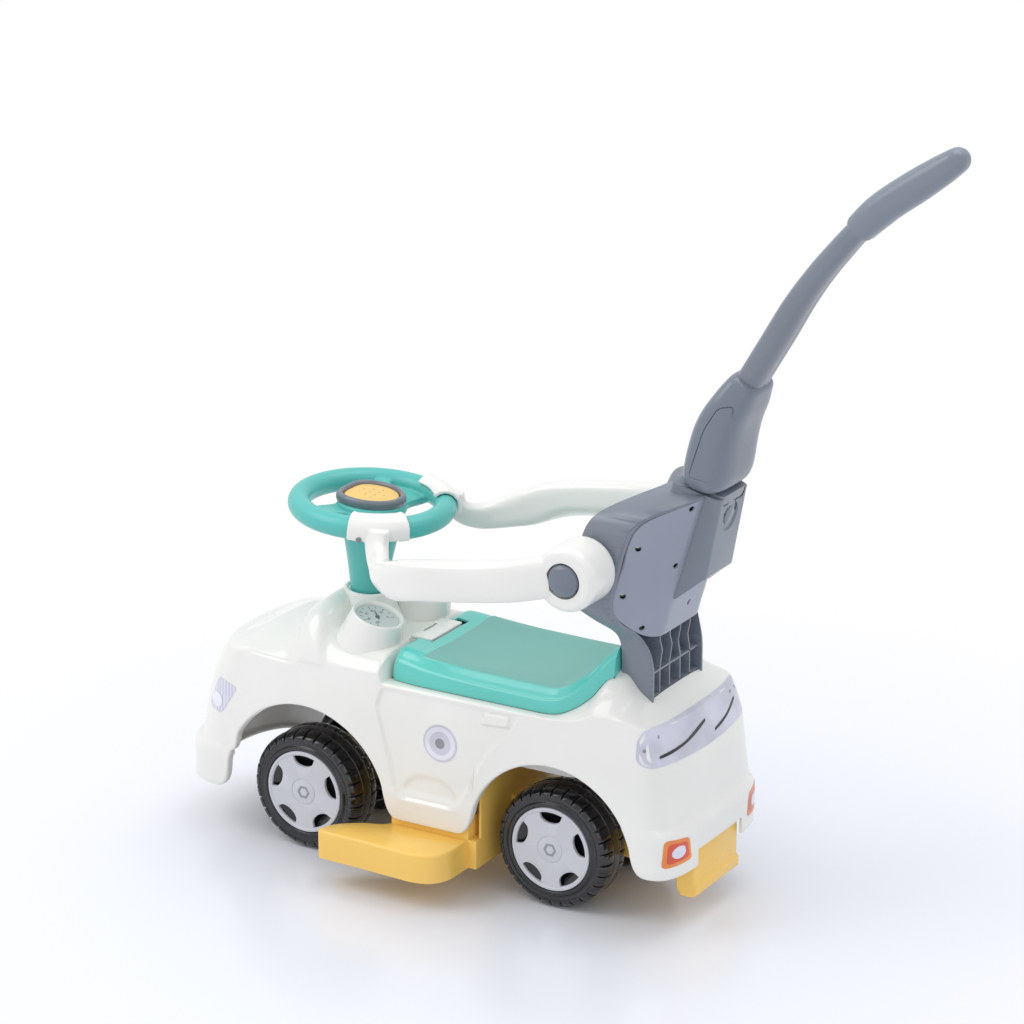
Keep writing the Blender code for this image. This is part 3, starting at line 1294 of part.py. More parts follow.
def handle_rings(first, last, widths, depths, corner, steps):
    """Rounded sections along part of the handle's line, with sizes given along it."""
    fine = 2000
    samples = smooth_line(handle_line(), fine + 1)
    chosen = [samples[int(round((first + (last - first) * step / (steps - 1)) * fine))]
              for step in range(steps)]
    rings = []
    for index, point in enumerate(chosen):
        before = chosen[max(index - 1, 0)]
        after = chosen[min(index + 1, steps - 1)]
        along = Vector((after[0] - before[0], 0, after[1] - before[1])).normalized()
        normal = Vector((along.z, 0, -along.x))
        share = index / (steps - 1)
        places = [step / (len(widths) - 1) for step in range(len(widths))]
        width = curve_value(share, places, widths)
        depth = curve_value(share, places, depths)
        radius = corner * min(width, depth)
        section = rounded_rectangle(depth, width, radius, 2)
        rings.append([Vector((point[0], 0, point[1])) + normal * a + Vector((0, b, 0))
                      for a, b in section])
    return rings


def handle_tube(grow):
    """The tube, or with a positive growth the socket that holds it."""
    extra = 4 * grow
    widths = [TUBE_WIDTH * share + 2 * grow for share in (1, 1, 0.92, 0.82)]
    depths = [TUBE_DEPTH * share + 2 * grow for share in (1, 1, 0.9, 0.8)]
    return loft(handle_rings(LOBE_END - 0.045 - extra, GRIP_START + 0.05 + extra,
                             widths, depths, 0.4, 12))


def build_handle():
    lobe = loft(handle_rings(0.0, LOBE_END, [LOBE_WIDTH * 0.84, LOBE_WIDTH, LOBE_WIDTH,
                                            LOBE_WIDTH * 0.96, LOBE_WIDTH * 0.70],
                             [LOBE_DEPTH * 0.66, LOBE_DEPTH, LOBE_DEPTH, LOBE_DEPTH * 0.88,
                              LOBE_DEPTH * 0.72], 0.36, 9))
    tongue = socket_block(-SOCKET_WALL - RUNNING, -TONGUE_LENGTH, 24 * mm)
    join(lobe, tongue)
    cut(lobe, handle_tube(GAP))
    lobe.name = "handle_lower"
    finish(lobe, grey())
    tube = handle_tube(0)
    tube.name = "handle_tube"
    finish(tube, grey())
    grip = loft(handle_rings(GRIP_START, 1.0,
                             [GRIP_WIDTH * 0.9, GRIP_WIDTH, GRIP_WIDTH, GRIP_WIDTH * 0.95,
                              GRIP_WIDTH * 0.55],
                             [GRIP_DEPTH * 0.85, GRIP_DEPTH, GRIP_DEPTH, GRIP_DEPTH * 0.9,
                              GRIP_DEPTH * 0.5], 0.45, 8))
    cut(grip, handle_tube(GAP))
    grip.name = "handle_grip"
    finish(grip, grey())


def centre_on_footprint():
    """Put the frame's origin on the floor under the middle of the car's length."""
    bpy.context.view_layer.update()
    places = [(item.matrix_world @ Vector(corner)).x for item in bpy.data.objects
              for corner in item.bound_box]
    shift = round((min(places) + max(places)) / 2 / mm, 1) * mm
    for item in bpy.data.objects:
        item.location.x -= shift


def main():
    clear_scene()
    build_body()
    build_tub()
    build_seat()
    build_floor()
    build_stop()
    build_steering()
    build_horn()
    build_dials()
    for name, x in (("front", FRONT_AXLE_X), ("rear", REAR_AXLE_X)):
        build_axle(name, x)
        for side_name, side in SIDES.items():
            build_wheel(name + "_" + side_name, x, side)
    for name, side in SIDES.items():
        build_arm(name, side)
    build_backrest()
    build_socket()
    build_handle()
    centre_on_footprint()


main()
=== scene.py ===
import math

import bmesh
import bpy
import numpy as np
from mathutils import Matrix, Vector
from mathutils.bvhtree import BVHTree


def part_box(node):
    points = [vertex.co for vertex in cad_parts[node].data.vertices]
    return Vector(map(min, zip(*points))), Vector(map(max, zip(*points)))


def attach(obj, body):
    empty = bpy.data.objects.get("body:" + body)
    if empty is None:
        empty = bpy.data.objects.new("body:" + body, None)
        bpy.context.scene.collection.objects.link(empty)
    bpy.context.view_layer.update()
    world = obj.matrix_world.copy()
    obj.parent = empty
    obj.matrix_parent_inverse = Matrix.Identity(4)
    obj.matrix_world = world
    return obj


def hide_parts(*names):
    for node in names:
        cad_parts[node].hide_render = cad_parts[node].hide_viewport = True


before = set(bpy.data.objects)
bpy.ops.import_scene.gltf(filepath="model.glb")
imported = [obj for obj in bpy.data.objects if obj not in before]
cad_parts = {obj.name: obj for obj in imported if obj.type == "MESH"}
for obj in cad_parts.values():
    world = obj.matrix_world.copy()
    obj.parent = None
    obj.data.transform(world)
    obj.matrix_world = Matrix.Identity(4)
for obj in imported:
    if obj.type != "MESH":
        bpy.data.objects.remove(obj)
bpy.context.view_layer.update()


# Body shell
# One thin moulding of glossy off-white polypropylene, open underneath, with its rims
# rolled inwards. A shallow door, its grip and a half-moon pocket are pressed into each
# side. Figures are millimetres, counted along the car from the middle of the wheelbase.
MM = 0.001
MIDDLE = (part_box("front_axle")[0].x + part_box("rear_axle")[1].x) / 2
NOSE, NOSE_ROUND, NOSE_POWER = -333, 70, 2.6
TAIL, TAIL_ROUND, TAIL_POWER = 325, 42, 3.6
HALF_WIDTH, ARCH_LEVEL = 112, 74
COWL, REAR_HINGE = -150, 180
DOOR = np.array([(-45, 226), (-51, 204), (-38, 160), (-28, 116), (-22, 104), (-12, 101),
                 (44, 101), (55, 106), (78, 149), (92, 176), (116, 202), (124, 212), (130, 226)])
GRIP = np.array([(85, 208), (119, 210), (117, 222), (87, 221)])


def spot(x, y, z):
    return Vector((MIDDLE + x * MM, y * MM, z * MM))


def flowing(x, stations, values):
    """Smooth value at x through the values at the stations, level beyond the ends."""
    s, v = np.asarray(stations, float), np.asarray(values, float)
    slope = np.diff(v) / np.diff(s)
    product = slope[:-1] * slope[1:]
    total = np.where(product > 0, slope[:-1] + slope[1:], 1.0)
    tangent = np.concatenate((slope[:1], np.where(product > 0, 2 * product / total, 0.0),
                              slope[-1:]))
    x = np.clip(x, s[0], s[-1])
    i = np.clip(np.searchsorted(s, x) - 1, 0, len(s) - 2)
    span = s[i + 1] - s[i]
    t = (x - s[i]) / span
    return ((2 * t ** 3 - 3 * t ** 2 + 1) * v[i] + (t ** 3 - 2 * t ** 2 + t) * span * tangent[i]
            + (3 * t ** 2 - 2 * t ** 3) * v[i + 1] + (t ** 3 - t ** 2) * span * tangent[i + 1])


def eased(value, low, high):
    t = np.clip((value - low) / (high - low), 0, 1)
    return t * t * (3 - 2 * t)


def depth_in(points, outline):
    """Distance of flat points from an outline's edge, positive inside it."""
    best = np.full(len(points), 1e9)
    inside = np.zeros(len(points), bool)
    for a, b in zip(outline, np.roll(outline, -1, 0)):
        edge, rel = b - a, points - a
        t = np.clip(rel @ edge / (edge @ edge), 0, 1)
        best = np.minimum(best, np.linalg.norm(rel - t[:, None] * edge, axis=1))
        height = edge[1] if abs(edge[1]) > 1e-9 else 1e-9
        crossed = (a[1] > points[:, 1]) != (b[1] > points[:, 1])
        inside ^= crossed & (points[:, 0] < a[0] + rel[:, 1] * edge[0] / height)
    return np.where(inside, best, -best)


def linked(name, data):
    item = bpy.data.objects.new(name, data)
    bpy.context.scene.collection.objects.link(item)
    return item


def skin(name, rows, loop=True, capped=True):
    """Mesh through rows of points; a loop closes round, and caps close the ends."""
    bm = bmesh.new()
    grid = [[bm.verts.new(point) for point in row] for row in rows]
    for lower, upper in zip(grid, grid[1:]):
        for i in range(len(lower) if loop else len(lower) - 1):
            j = (i + 1) % len(lower)
            bm.faces.new((lower[i], lower[j], upper[j], upper[i]))
    if capped:
        bm.faces.new(grid[0][::-1])
        bm.faces.new(grid[-1])
    bmesh.ops.remove_doubles(bm, verts=bm.verts, dist=1e-6)
    bmesh.ops.recalc_face_normals(bm, faces=bm.faces)
    mesh = bpy.data.meshes.new(name)
    bm.to_mesh(mesh)
    bm.free()
    return linked(name, mesh)


def formed(item, *steps):
    """Run modifiers on a piece one after another and keep the plain mesh."""
    for kind, settings in steps:
        modifier = item.modifiers.new(kind, kind)
        for key, value in settings.items():
            setattr(modifier, key, value)
    graph = bpy.context.evaluated_depsgraph_get()
    mesh = bpy.data.meshes.new_from_object(item.evaluated_get(graph))
    item.modifiers.clear()
    item.data = mesh
    return item


def cut(item, *tools, operation="DIFFERENCE"):
    """Booleans of a piece with shapes that are used up by them."""
    for tool in tools:
        formed(item, ("BOOLEAN", {"operation": operation, "solver": "EXACT", "object": tool}))
        bpy.data.objects.remove(tool)
    return item


def thickened(item, thickness, offset=-1.0):
    """Give an open skin its wall, inwards unless the offset says otherwise."""
    return formed(item, ("SOLIDIFY", {"thickness": thickness * MM, "offset": offset}))


def painted(item, *materials):
    item.data.materials.clear()
    for material in materials:
        item.data.materials.append(material)
    return item


def dressed(item, *materials, sharp=34):
    """Paint a piece and shade it smooth but for edges over the sharp angle in degrees."""
    painted(item, *materials).data.shade_smooth()
    item.data.set_sharp_from_angle(angle=math.radians(sharp))
    return item


class Wire:
    """A node socket that takes part in sums with other sockets and with numbers."""

    def __init__(self, tree, socket=None):
        self.tree, self.socket = tree, socket

    def node(self, kind, settings=(), inputs=(), output=0):
        """Add a node: first its settings, then the values or links of its sockets."""
        node = self.tree.nodes.new(kind)
        for name, value in dict(settings).items():
            if name == "stops":
                ramp = node.color_ramp
                for place, _ in value[2:]:
                    ramp.elements.new(place)
                for element, (place, colour) in zip(ramp.elements, value):
                    element.position, element.color = place, (*colour, 1)
            else:
                setattr(node, name, value)
        for name, value in dict(inputs).items():
            if isinstance(value, Wire):
                self.tree.links.new(value.socket, node.inputs[name])
            else:
                node.inputs[name].default_value = value
        return Wire(self.tree, node.outputs[output])

    def into(self, socket):
        self.tree.links.new(self.socket, socket)

    def maths(self, operation, other=0.0):
        return self.node("ShaderNodeMath", {"operation": operation}, {0: self, 1: other})

    def __add__(self, other):
        return self.maths("ADD", other)

    def __sub__(self, other):
        return self.maths("SUBTRACT", other)

    def __mul__(self, other):
        return self.maths("MULTIPLY", other)

    def __rsub__(self, other):
        return self * -1.0 + other

    __radd__ = __add__
    __rmul__ = __mul__

    def noise(self, scale, detail):
        return self.node("ShaderNodeTexNoise", {},
                         {"Vector": self, "Scale": scale, "Detail": detail})

    def step(self, low, high):
        """Smooth rise from 0 at the low value to 1 at the high one."""
        return self.node("ShaderNodeMapRange", {"interpolation_type": "SMOOTHSTEP"},
                         {"Value": self, "From Min": low, "From Max": high})

    def blend(self, first, second):
        return self.node("ShaderNodeMix", {"data_type": "RGBA"},
                         {0: self, 6: first, 7: second}, output=2)


def finish(name):
    """New material: its shader, a pen for its nodes, and the object's own coordinates."""
    material = bpy.data.materials.new(name)
    material.use_nodes = True
    pen = Wire(material.node_tree)
    shader = material.node_tree.nodes["Principled BSDF"]
    return material, shader, pen, pen.node("ShaderNodeTexCoord", output=3)


def faded(colour, factor):
    """Colour made darker or paler, with its alpha."""
    return (*[min(c * factor, 1) for c in colour], 1)


def moulded(name, colour, roughness, coat=0.0, orange_peel=0.06, grain=0.0, grain_size=0.7):
    """Moulded plastic: faint flow of colour, soft waves, and grain of a size in mm."""
    material, shader, pen, place = finish(name)
    flow, waves, fine = (place.noise(scale, detail) for scale, detail in
                         ((7.0, 3.0), (55.0, 1.0), (1 / (grain_size * MM), 2.0)))
    # Painted highlight: convex edges are made paler, as if they catch the light.
    edge = pen.node("ShaderNodeNewGeometry", output=7).step(0.53, 0.60)
    tint = flow.step(0.3, 0.7).blend(faded(colour, 0.965), faded(colour, 1.02))
    tint = (edge * 0.35).blend(tint, (*[c + (1 - c) * 0.14 for c in colour], 1))
    tint.into(shader.inputs["Base Color"])
    rough = flow * 0.05 + fine * (0.04 + grain * 0.3) + (roughness - 0.045 - grain * 0.15)
    rough.into(shader.inputs["Roughness"])
    ripple = pen.node("ShaderNodeBump", {}, {"Strength": orange_peel, "Distance": 0.002,
                                             "Height": waves})
    relief = pen.node("ShaderNodeBump", {}, {"Strength": 0.02 + grain, "Distance": 0.0004,
                                             "Height": fine, "Normal": ripple})
    relief.into(shader.inputs["Normal"])
    shader.inputs["Coat Weight"].default_value = coat
    shader.inputs["Coat Roughness"].default_value = 0.06
    return material


def plan(x):
    """Half width of the body at the bumpers."""
    width = flowing(x, [-263, -200, -100], [104, 109, 112])
    nose = 1 - np.clip((NOSE + NOSE_ROUND - x) / NOSE_ROUND, 0, 1) ** NOSE_POWER
    tail = 1 - np.clip((x - TAIL + TAIL_ROUND) / TAIL_ROUND, 0, 1) ** TAIL_POWER
    return width * nose ** (1 / NOSE_POWER) * tail ** (1 / TAIL_POWER)


def body_top(x, across):
    """Height of the upper skin, from 0 on the centre line to 1 at the shoulder."""
    stations = [-273, -250, -225, -200, -182, -165, -150, -138, -126, -112, -85, -53, -46,
                150, 165, 185, 205, 224, 236, 255, 270, 292]
    edge = [232, 234, 234.5, 234, 233, 233, 234, 235, 236, 237, 238, 239, 229,
            229, 229, 231, 235, 241, 242, 243, 241, 235]
    centre = [232, 245, 256, 261, 266, 285, 296, 292, 272, 262, 257.5, 256.5, 229,
              229, 231, 243, 262, 285, 284, 265, 254, 235]
    power = [2, 2, 2, 2.2, 3, 4, 4.6, 4.6, 6, 8, 8, 8, 6, 4, 4, 4, 4, 4, 4, 3.4, 3, 2]
    low, high = flowing(x, stations, edge), flowing(x, stations, centre)
    return low + (high - low) * (1 - across ** flowing(x, stations, power))


INSETS = np.array([(0, 0, 3, 13, 18, 27, 38, 52), (0, 0, 0.6, 1, 1.2, 2, 4.5, 9),
                   (0, 0, 2, 7, 11, 16, 23, 29)], float)
HEIGHTS = np.array([(62, 98, 107, 112, 138, 175, 207), (76, 100, 110, 116, 150, 185, 212),
                    (73, 112, 123, 129, 154, 192, 218)], float)
KNOTS = np.arange(8.0)


def knots(x):
    """Eight points of the side's section at a place x along the bumper."""
    if x < COWL:
        xs = COWL + (x - COWL) * (1 - INSETS[0] / (COWL - NOSE))
    elif x > REAR_HINGE:
        xs = REAR_HINGE + (x - REAR_HINGE) * (1 - INSETS[2] / (TAIL - REAR_HINGE))
    else:
        xs = np.full(8, float(x))
    ends = [-260, -120, 140, 270]
    front, rear = flowing(x, ends, [1, 0, 0, 0]), flowing(x, ends, [0, 0, 0, 1])
    zs = HEIGHTS[0] * front + HEIGHTS[1] * (1 - front - rear) + HEIGHTS[2] * rear
    zs = np.append(zs, body_top(xs[7], 1.0))
    return np.stack((xs, -plan(x) * (1 - INSETS[1] / HALF_WIDTH), zs), 1)


def arch(centre, radius, before, after):
    """Side view of a wheel arch with rounded feet, front to rear, as (x, z)."""
    first = math.pi - math.asin((before - ARCH_LEVEL) / radius)
    last = math.asin((after - ARCH_LEVEL) / radius)
    turn = np.linspace(first - 0.27, last + 0.27, 77)
    ring = np.stack((centre + radius * np.cos(turn), ARCH_LEVEL + radius * np.sin(turn)), 1)
    feet = []
    for angle, level, outward, end in ((first, before, -1, ring[0]), (last, after, 1, ring[-1])):
        corner = np.array((centre + radius * math.cos(angle), level))
        start = corner + (14 * outward, 0)
        t = np.linspace(0, 1, 8)[:, None]
        feet.append((1 - t) ** 2 * start + 2 * t * (1 - t) * corner + t ** 2 * end)
    return np.concatenate((feet[0][:-1], ring, feet[1][-2::-1]))


def side_columns():
    """Places along the bumper line with the height where the skin starts there."""
    columns = []
    for angle in np.linspace(0, math.pi / 2, 26):
        x = NOSE + NOSE_ROUND - NOSE_ROUND * math.cos(angle) ** (2 / NOSE_POWER)
        if x < -273:
            columns.append((x, 62.0))
    front = arch(-147.3, 111, 62, 76)
    rear = arch(171.8, 104, 76, 73)
    sill = [(x, 76.0) for x in np.linspace(front[-1][0] + 3, rear[0][0] - 3, 30)]
    for xa, za in [*front, *sill, *rear]:
        x = xa
        for _ in range(4):
            place = np.interp(za, flowing(np.linspace(0, 7, 141), KNOTS, knots(x)[:, 2]),
                              np.linspace(0, 7, 141))
            if xa < COWL:
                shrink = 1 - flowing(place, KNOTS, INSETS[0]) / (COWL - NOSE)
                x = COWL + (xa - COWL) / shrink
            elif xa > REAR_HINGE:
                shrink = 1 - flowing(place, KNOTS, INSETS[2]) / (TAIL - REAR_HINGE)
                x = REAR_HINGE + (xa - REAR_HINGE) / shrink
        columns.append((max(x, columns[-1][0] + 0.35), za))
    for angle in np.linspace(math.pi / 2, 0, 30):
        x = TAIL - TAIL_ROUND + TAIL_ROUND * math.cos(angle) ** (2 / TAIL_POWER)
        if x > columns[-1][0] + 1 and angle > 0.02:
            columns.append((x, 73.0))
    return columns


def rise(section, start, levels, inward, spine):
    """Points up one section of the side from a height, then over the top to the middle."""
    fine = np.linspace(0, 7, 281)
    low = np.interp(start, flowing(fine, KNOTS, section[:, 2]), fine)
    t = low + (7 - low) * levels / 7
    side = np.stack([flowing(t, KNOTS, section[:, k]) for k in range(3)], 1)
    shoulder = side[-1]
    middle = min(max(shoulder[0], spine[0]), spine[1])
    xs = middle + (shoulder[0] - middle) * inward
    return np.concatenate((side, np.stack((xs, shoulder[1] * inward, body_top(xs, inward)), 1)))


def body_points():
    levels = np.concatenate([np.linspace(a, b, n, endpoint=False) for a, b, n in
                             ((0, 1, 7), (1, 2, 4), (2, 3, 4), (3, 4, 9), (4, 5, 12), (5, 6, 11),
                              (6, 7, 9))] + [[7]])
    inward = 1 - np.linspace(0, 1, 27)[1:] ** 1.6
    spine = (NOSE + 125, TAIL - 62)
    points = [rise(knots(x), start, levels, inward, spine) for x, start in side_columns()]
    points = [column for column in points if column[0][0] < 200 or column[0][1] < -62]
    for y, start in ((-60, 73), (-53, 73), (-51.6, 73), (-51.4, 92.5), (-49, 92.5), (-36, 92.5),
                     (-24, 92.5), (-12, 92.5), (0, 92.5)):
        reach = (1 - (abs(y) / HALF_WIDTH) ** TAIL_POWER) ** (1 / TAIL_POWER)
        edge = TAIL - TAIL_ROUND + TAIL_ROUND * reach
        section = knots(edge)
        section[:, 1] = y * (1 - INSETS[1] / HALF_WIDTH)
        points.append(rise(section, start, levels, inward, (spine[1], spine[1])))
    points = np.array(points)
    seam = len(levels) - 1
    for _ in range(5):
        mean = (points[:, :-2] + 2 * points[:, 1:-1] + points[:, 2:]) / 4
        points[:, seam - 4:seam + 5] = mean[:, seam - 5:seam + 4]
    first = points[:, 0]
    along = np.gradient(first, axis=0)
    along /= np.linalg.norm(along, axis=1)[:, None]
    up = points[:, 1] - first
    down = -(up - along * np.sum(up * along, 1)[:, None])
    down /= np.linalg.norm(down, axis=1)[:, None] + 1e-9
    inner = np.cross(along, down)
    inner *= np.sign(np.sum(inner * (np.array((-4, 0, 0)) - first * (1, 1, 0)), 1))[:, None]
    at_sill = eased(first[:, 0], -40, -30) * (1 - eased(first[:, 0], 62, 72))
    at_notch = (first[:, 0] > 290) & (first[:, 1] > -62)
    reach = np.where(at_notch, 3.0, 9 - 6 * at_sill)
    size = np.where(at_notch, 0.3, 1.0)
    flange = []
    for drop, turn in ((2.0, 1.0), (2.0, 0.35), (1.7, 0.16), (1.0, 0.05)):
        step = reach * turn
        flange.append(first + down * (drop * size)[:, None] + inner * step[:, None])
    return np.concatenate((np.stack(flange, 1), points), 1)


half_body = body_points()
far_body = half_body[-2:0:-1] * (1, -1, 1)
ring_rows = np.concatenate((half_body, far_body)).transpose(1, 0, 2)
body = skin("body_shell_skin", [[spot(*p) for p in row] for row in ring_rows], capped=False)
count = len(body.data.vertices)
flat = np.empty(count * 3)
body.data.vertices.foreach_get("co", flat)
co = flat.reshape(-1, 3) / MM - (MIDDLE / MM, 0, 0)
normals = np.array([vertex.normal for vertex in body.data.vertices])
if np.sum(normals * (co - (0, 0, 150))) < 0:
    body.data.flip_normals()
    normals = -normals
flank = (np.abs(co[:, 1]) > 80) & (co[:, 2] > 90)
side_view = co[:, (0, 2)]
door = depth_in(side_view, DOOR)
relief = (0.5 * np.exp(-((door + 2.4) / 1.8) ** 2) - 2.3 * eased(door, -1.2, 2.2)) * (
    1 - eased(co[:, 2], 221, 227))
relief += 2.8 * eased(depth_in(side_view, GRIP), -1.2, 1.8)
pocket = 1 - np.hypot((side_view[:, 0] - 18) / 33, (side_view[:, 1] - 112) / 20)
relief -= 2.2 * eased(pocket, -0.06, 0.10) * eased(co[:, 2], 106, 113)
bonnet = eased(co[:, 0], -268, -250) * (1 - eased(co[:, 0], -178, -158))
crease_line = co[:, 2] - (230.5 - 0.02 * (co[:, 0] + 205))
wing = 1.5 * bonnet * eased(crease_line, -3, 1) * (1 - eased(crease_line, 3, 16))
back_edge = -158 - 0.28 * (co[:, 2] - 232)
front_edge = -124 - 0.35 * (co[:, 2] - 236)
pillar = eased(co[:, 0] - back_edge, -3, 2) * (1 - eased(co[:, 0] - front_edge, -2, 3))
pillar *= 2.6 * eased(co[:, 2], 231, 238) * (1 - eased(co[:, 2], 278, 292))
pillar *= eased(np.abs(co[:, 1]), 30, 50)
relief = relief * flank - wing * (np.abs(co[:, 1]) > 60) + pillar
pressed = flat.reshape(-1, 3) + normals * relief[:, None] * MM
body.data.vertices.foreach_set("co", pressed.ravel())
body_tree = BVHTree.FromPolygons([vertex.co.copy() for vertex in body.data.vertices],
                                 [list(face.vertices) for face in body.data.polygons])
bm = bmesh.new()
bm.from_mesh(body.data)
centres = [(face, face.calc_center_median()) for face in bm.faces]
under_lid = [face for face, middle in centres if middle.z > 200 * MM and abs(middle.y) < 69 * MM
             and -24 < (middle.x - MIDDLE) / MM < 189]
bmesh.ops.delete(bm, geom=under_lid, context="FACES")
bm.to_mesh(body.data)
bm.free()
white = moulded("white_polypropylene", (0.86, 0.845, 0.80), 0.20, coat=0.35)
thickened(body, 2.2)
foot_plan = ((233, -55), (266.4, -55), (266.4, 55), (233, 55))
cut(body, skin("foot_hole", [[spot(x, y, z) for x, y in foot_plan] for z in (200, 300)]))
dressed(body, white)
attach(body, "car")
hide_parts("body_shell")


# Collar and gauge pods
# The steering collar and two round instrument pods rise out of the same white moulding.
# Each flares into the cowl with a wide fillet and carries a rounded lip on top.
def aimed(origin, direction):
    turn = Vector((0, 0, 1)).rotation_difference(Vector(direction).normalized())
    return Matrix.Translation(Vector(origin)) @ turn.to_matrix().to_4x4()


def rounded(points, radius, steps=4, closed=False):
    """The outline with each corner eased by a short curve."""
    result = []
    for i, middle in enumerate(points):
        if not closed and i in (0, len(points) - 1):
            result.append(tuple(middle))
            continue
        b = Vector(middle)
        before, after = Vector(points[i - 1]) - b, Vector(points[(i + 1) % len(points)]) - b
        start = b + before.normalized() * min(radius, before.length * 0.48)
        end = b + after.normalized() * min(radius, after.length * 0.48)
        for k in range(steps + 1):
            t = k / steps
            result.append(tuple((1 - t) ** 2 * start + 2 * t * (1 - t) * b + t ** 2 * end))
    return result


def put(place, points):
    """Points in mm of a piece's own frame, carried to where the piece sits."""
    return [place @ Vector([MM * c for c in point]) for point in points]


def turned(name, profile, place, sides=96, bored=False):
    """Turned piece from (radius, height) pairs in mm; a bored one closes on itself."""
    turns = [2 * math.pi * i / sides for i in range(sides)]
    rows = [put(place, [(radius * math.cos(t), radius * math.sin(t), height) for t in turns])
            for radius, height in profile]
    return skin(name, rows + rows[:1] if bored else rows, capped=False)


STEER_LEAN = math.radians(3.5)
steer_way = Vector((math.sin(STEER_LEAN), 0, math.cos(STEER_LEAN)))
collar_top = aimed(spot(-128, 0, 296), steer_way)
collar = turned("steering_collar", rounded([(23.5, -20), (23.5, 0), (27, 0.4), (29, -5), (34, -20),
                                            (42, -32), (58, -44)], 2.5), collar_top)
thickened(collar, 0.6, 0.0)
dressed(collar, white)
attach(collar, "car")
POD_LEAN = math.radians(18)
pods = {}
SIDES = (("left", -1), ("right", 1))
for name, side in SIDES:
    pods[name] = aimed(spot(-83, 51 * side, 287), (math.sin(POD_LEAN), 0, math.cos(POD_LEAN)))
    bowl = [(0, -5.2), (24.6, -5.2), (25.4, -1.2), (28.2, 0.8), (30.2, -1.0), (31.6, -8),
            (33.6, -17), (35.2, -25), (37.2, -30), (40, -36), (41, -50)]
    pod = turned("gauge_pod_" + name, rounded(bowl, 2.4, 6), pods[name])
    dressed(pod, white)
    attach(pod, "car")


# Storage tub
# A plain white box under the seat, hung in the body's opening by its thin flange.
painted(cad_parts["storage_tub"], moulded("tub_white", (0.84, 0.825, 0.78), 0.34, grain=0.10))


# Floor pan and foot rests
# One yellow moulding: a pan that closes the body's underside, a foot rest on each side
# hollowed round the front wheel, a neck over the rear axle and a tongue for the steering.
yellow = moulded("yellow_polypropylene", (0.96, 0.60, 0.13), 0.27, coat=0.15, grain=0.03)


def prism(name, outline, axis, low, high):
    """Outline in mm drawn out along an axis, given as (x, y), (x, z) or (y, z)."""
    order = {"X": lambda a, b, c: spot(c, a, b), "Y": lambda a, b, c: spot(a, c, b),
             "Z": lambda a, b, c: spot(a, b, c)}[axis]
    return skin(name, [[order(a, b, level) for a, b in outline] for level in (low, high)])


def softened(item, width, segments=2, angle=55):
    """Round the edges that are sharper than the angle."""
    return formed(item, ("BEVEL", {"width": width * MM, "segments": segments,
                                   "limit_method": "ANGLE", "angle_limit": math.radians(angle)}))


def block(name, x, y, z, bevel=1.0):
    plan_view = [(x[0], y[0]), (x[1], y[0]), (x[1], y[1]), (x[0], y[1])]
    return softened(prism(name, plan_view, "Z", *z), bevel, 3, 30)


def shrunk(outline, distance):
    """Outline moved inwards along its own normals, or outwards for a negative distance."""
    points = np.array(outline, float)
    ahead = np.roll(points, -1, 0)
    tangent = ahead - np.roll(points, 1, 0)
    normal = np.stack((-tangent[:, 1], tangent[:, 0]), 1)
    normal /= np.linalg.norm(normal, axis=1)[:, None]
    area = np.sum(points[:, 0] * ahead[:, 1] - ahead[:, 0] * points[:, 1])
    return points + normal * distance * np.sign(area)


def curve(points, number):
    """Catmull-Rom line through the points, as a list of number points."""
    points = np.array(points, float)
    padded = np.concatenate(([2 * points[0] - points[1]], points, [2 * points[-1] - points[-2]]))
    result = []
    for place in np.linspace(0, len(points) - 1, number):
        i = min(int(place), len(points) - 2)
        t = place - i
        a, b, c, d = padded[i:i + 4]
        result.append(0.5 * (2 * b + (c - a) * t + (2 * a - 5 * b + 4 * c - d) * t ** 2
                             + (3 * b - a - 3 * c + d) * t ** 3))
    return result


def united(name, first, *others):
    """One piece out of several overlapping ones."""
    first.name = name
    return cut(first, *others, operation="UNION")


wheel_side = [(-33, 107), (-42, 115), (-64, 124), (-86, 142), (-94, 157)]
outer_side = [(-94, 163), (-86, 167), (-40, 168.5), (10, 171), (36, 171.5), (55, 164),
              (65, 147), (66.6, 128), (66.6, 107)]
wings = []
for side in (-1, 1):
    plan_view = [(x, side * y) for x, y in curve(wheel_side, 30) + curve(outer_side, 64)]
    rows = [[spot(x, y, z) for x, y in shrunk(plan_view, inset)] for z, inset in
            ((33, 0.8), (33.8, 0), (62.6, 0), (64.4, 0.3), (65.7, 0.9), (66.4, 1.7), (66.7, 2.4))]
    wings.append(skin("wing", rows))
pan = united(
    "floor_pan_skin", block("pan", (-33, 77), (-107.4, 107.4), (33.5, 67)),
    block("upstand", (-33, 67), (-107.4, 107.4), (60, 92)), *wings,
    block("back", (73.5, 77), (-96, 96), (34, 131)),
    block("neck", (73, 295.4), (-30, 30), (52, 96), 2.0),
    block("post", (-33, -27), (-36, 36), (63, 112)),
    block("tongue", (-160, -29), (-18, 18), (104, 112), 2.0))
HALF_BASE, AXLE_HEIGHT = 161.3, 70


def bore(radius, low, high, place, sides=32):
    return turned("bore", [(0, low), (radius, low), (radius, high), (0, high)], place, sides)


rear_axle_line = aimed(spot(HALF_BASE, 0, AXLE_HEIGHT), (0, 1, 0))
cut(pan, bore(4.6, -60, 60, rear_axle_line), bore(6.2, -230, -120, collar_top))
dressed(pan, yellow)
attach(pan, "car")
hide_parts("floor_pan")


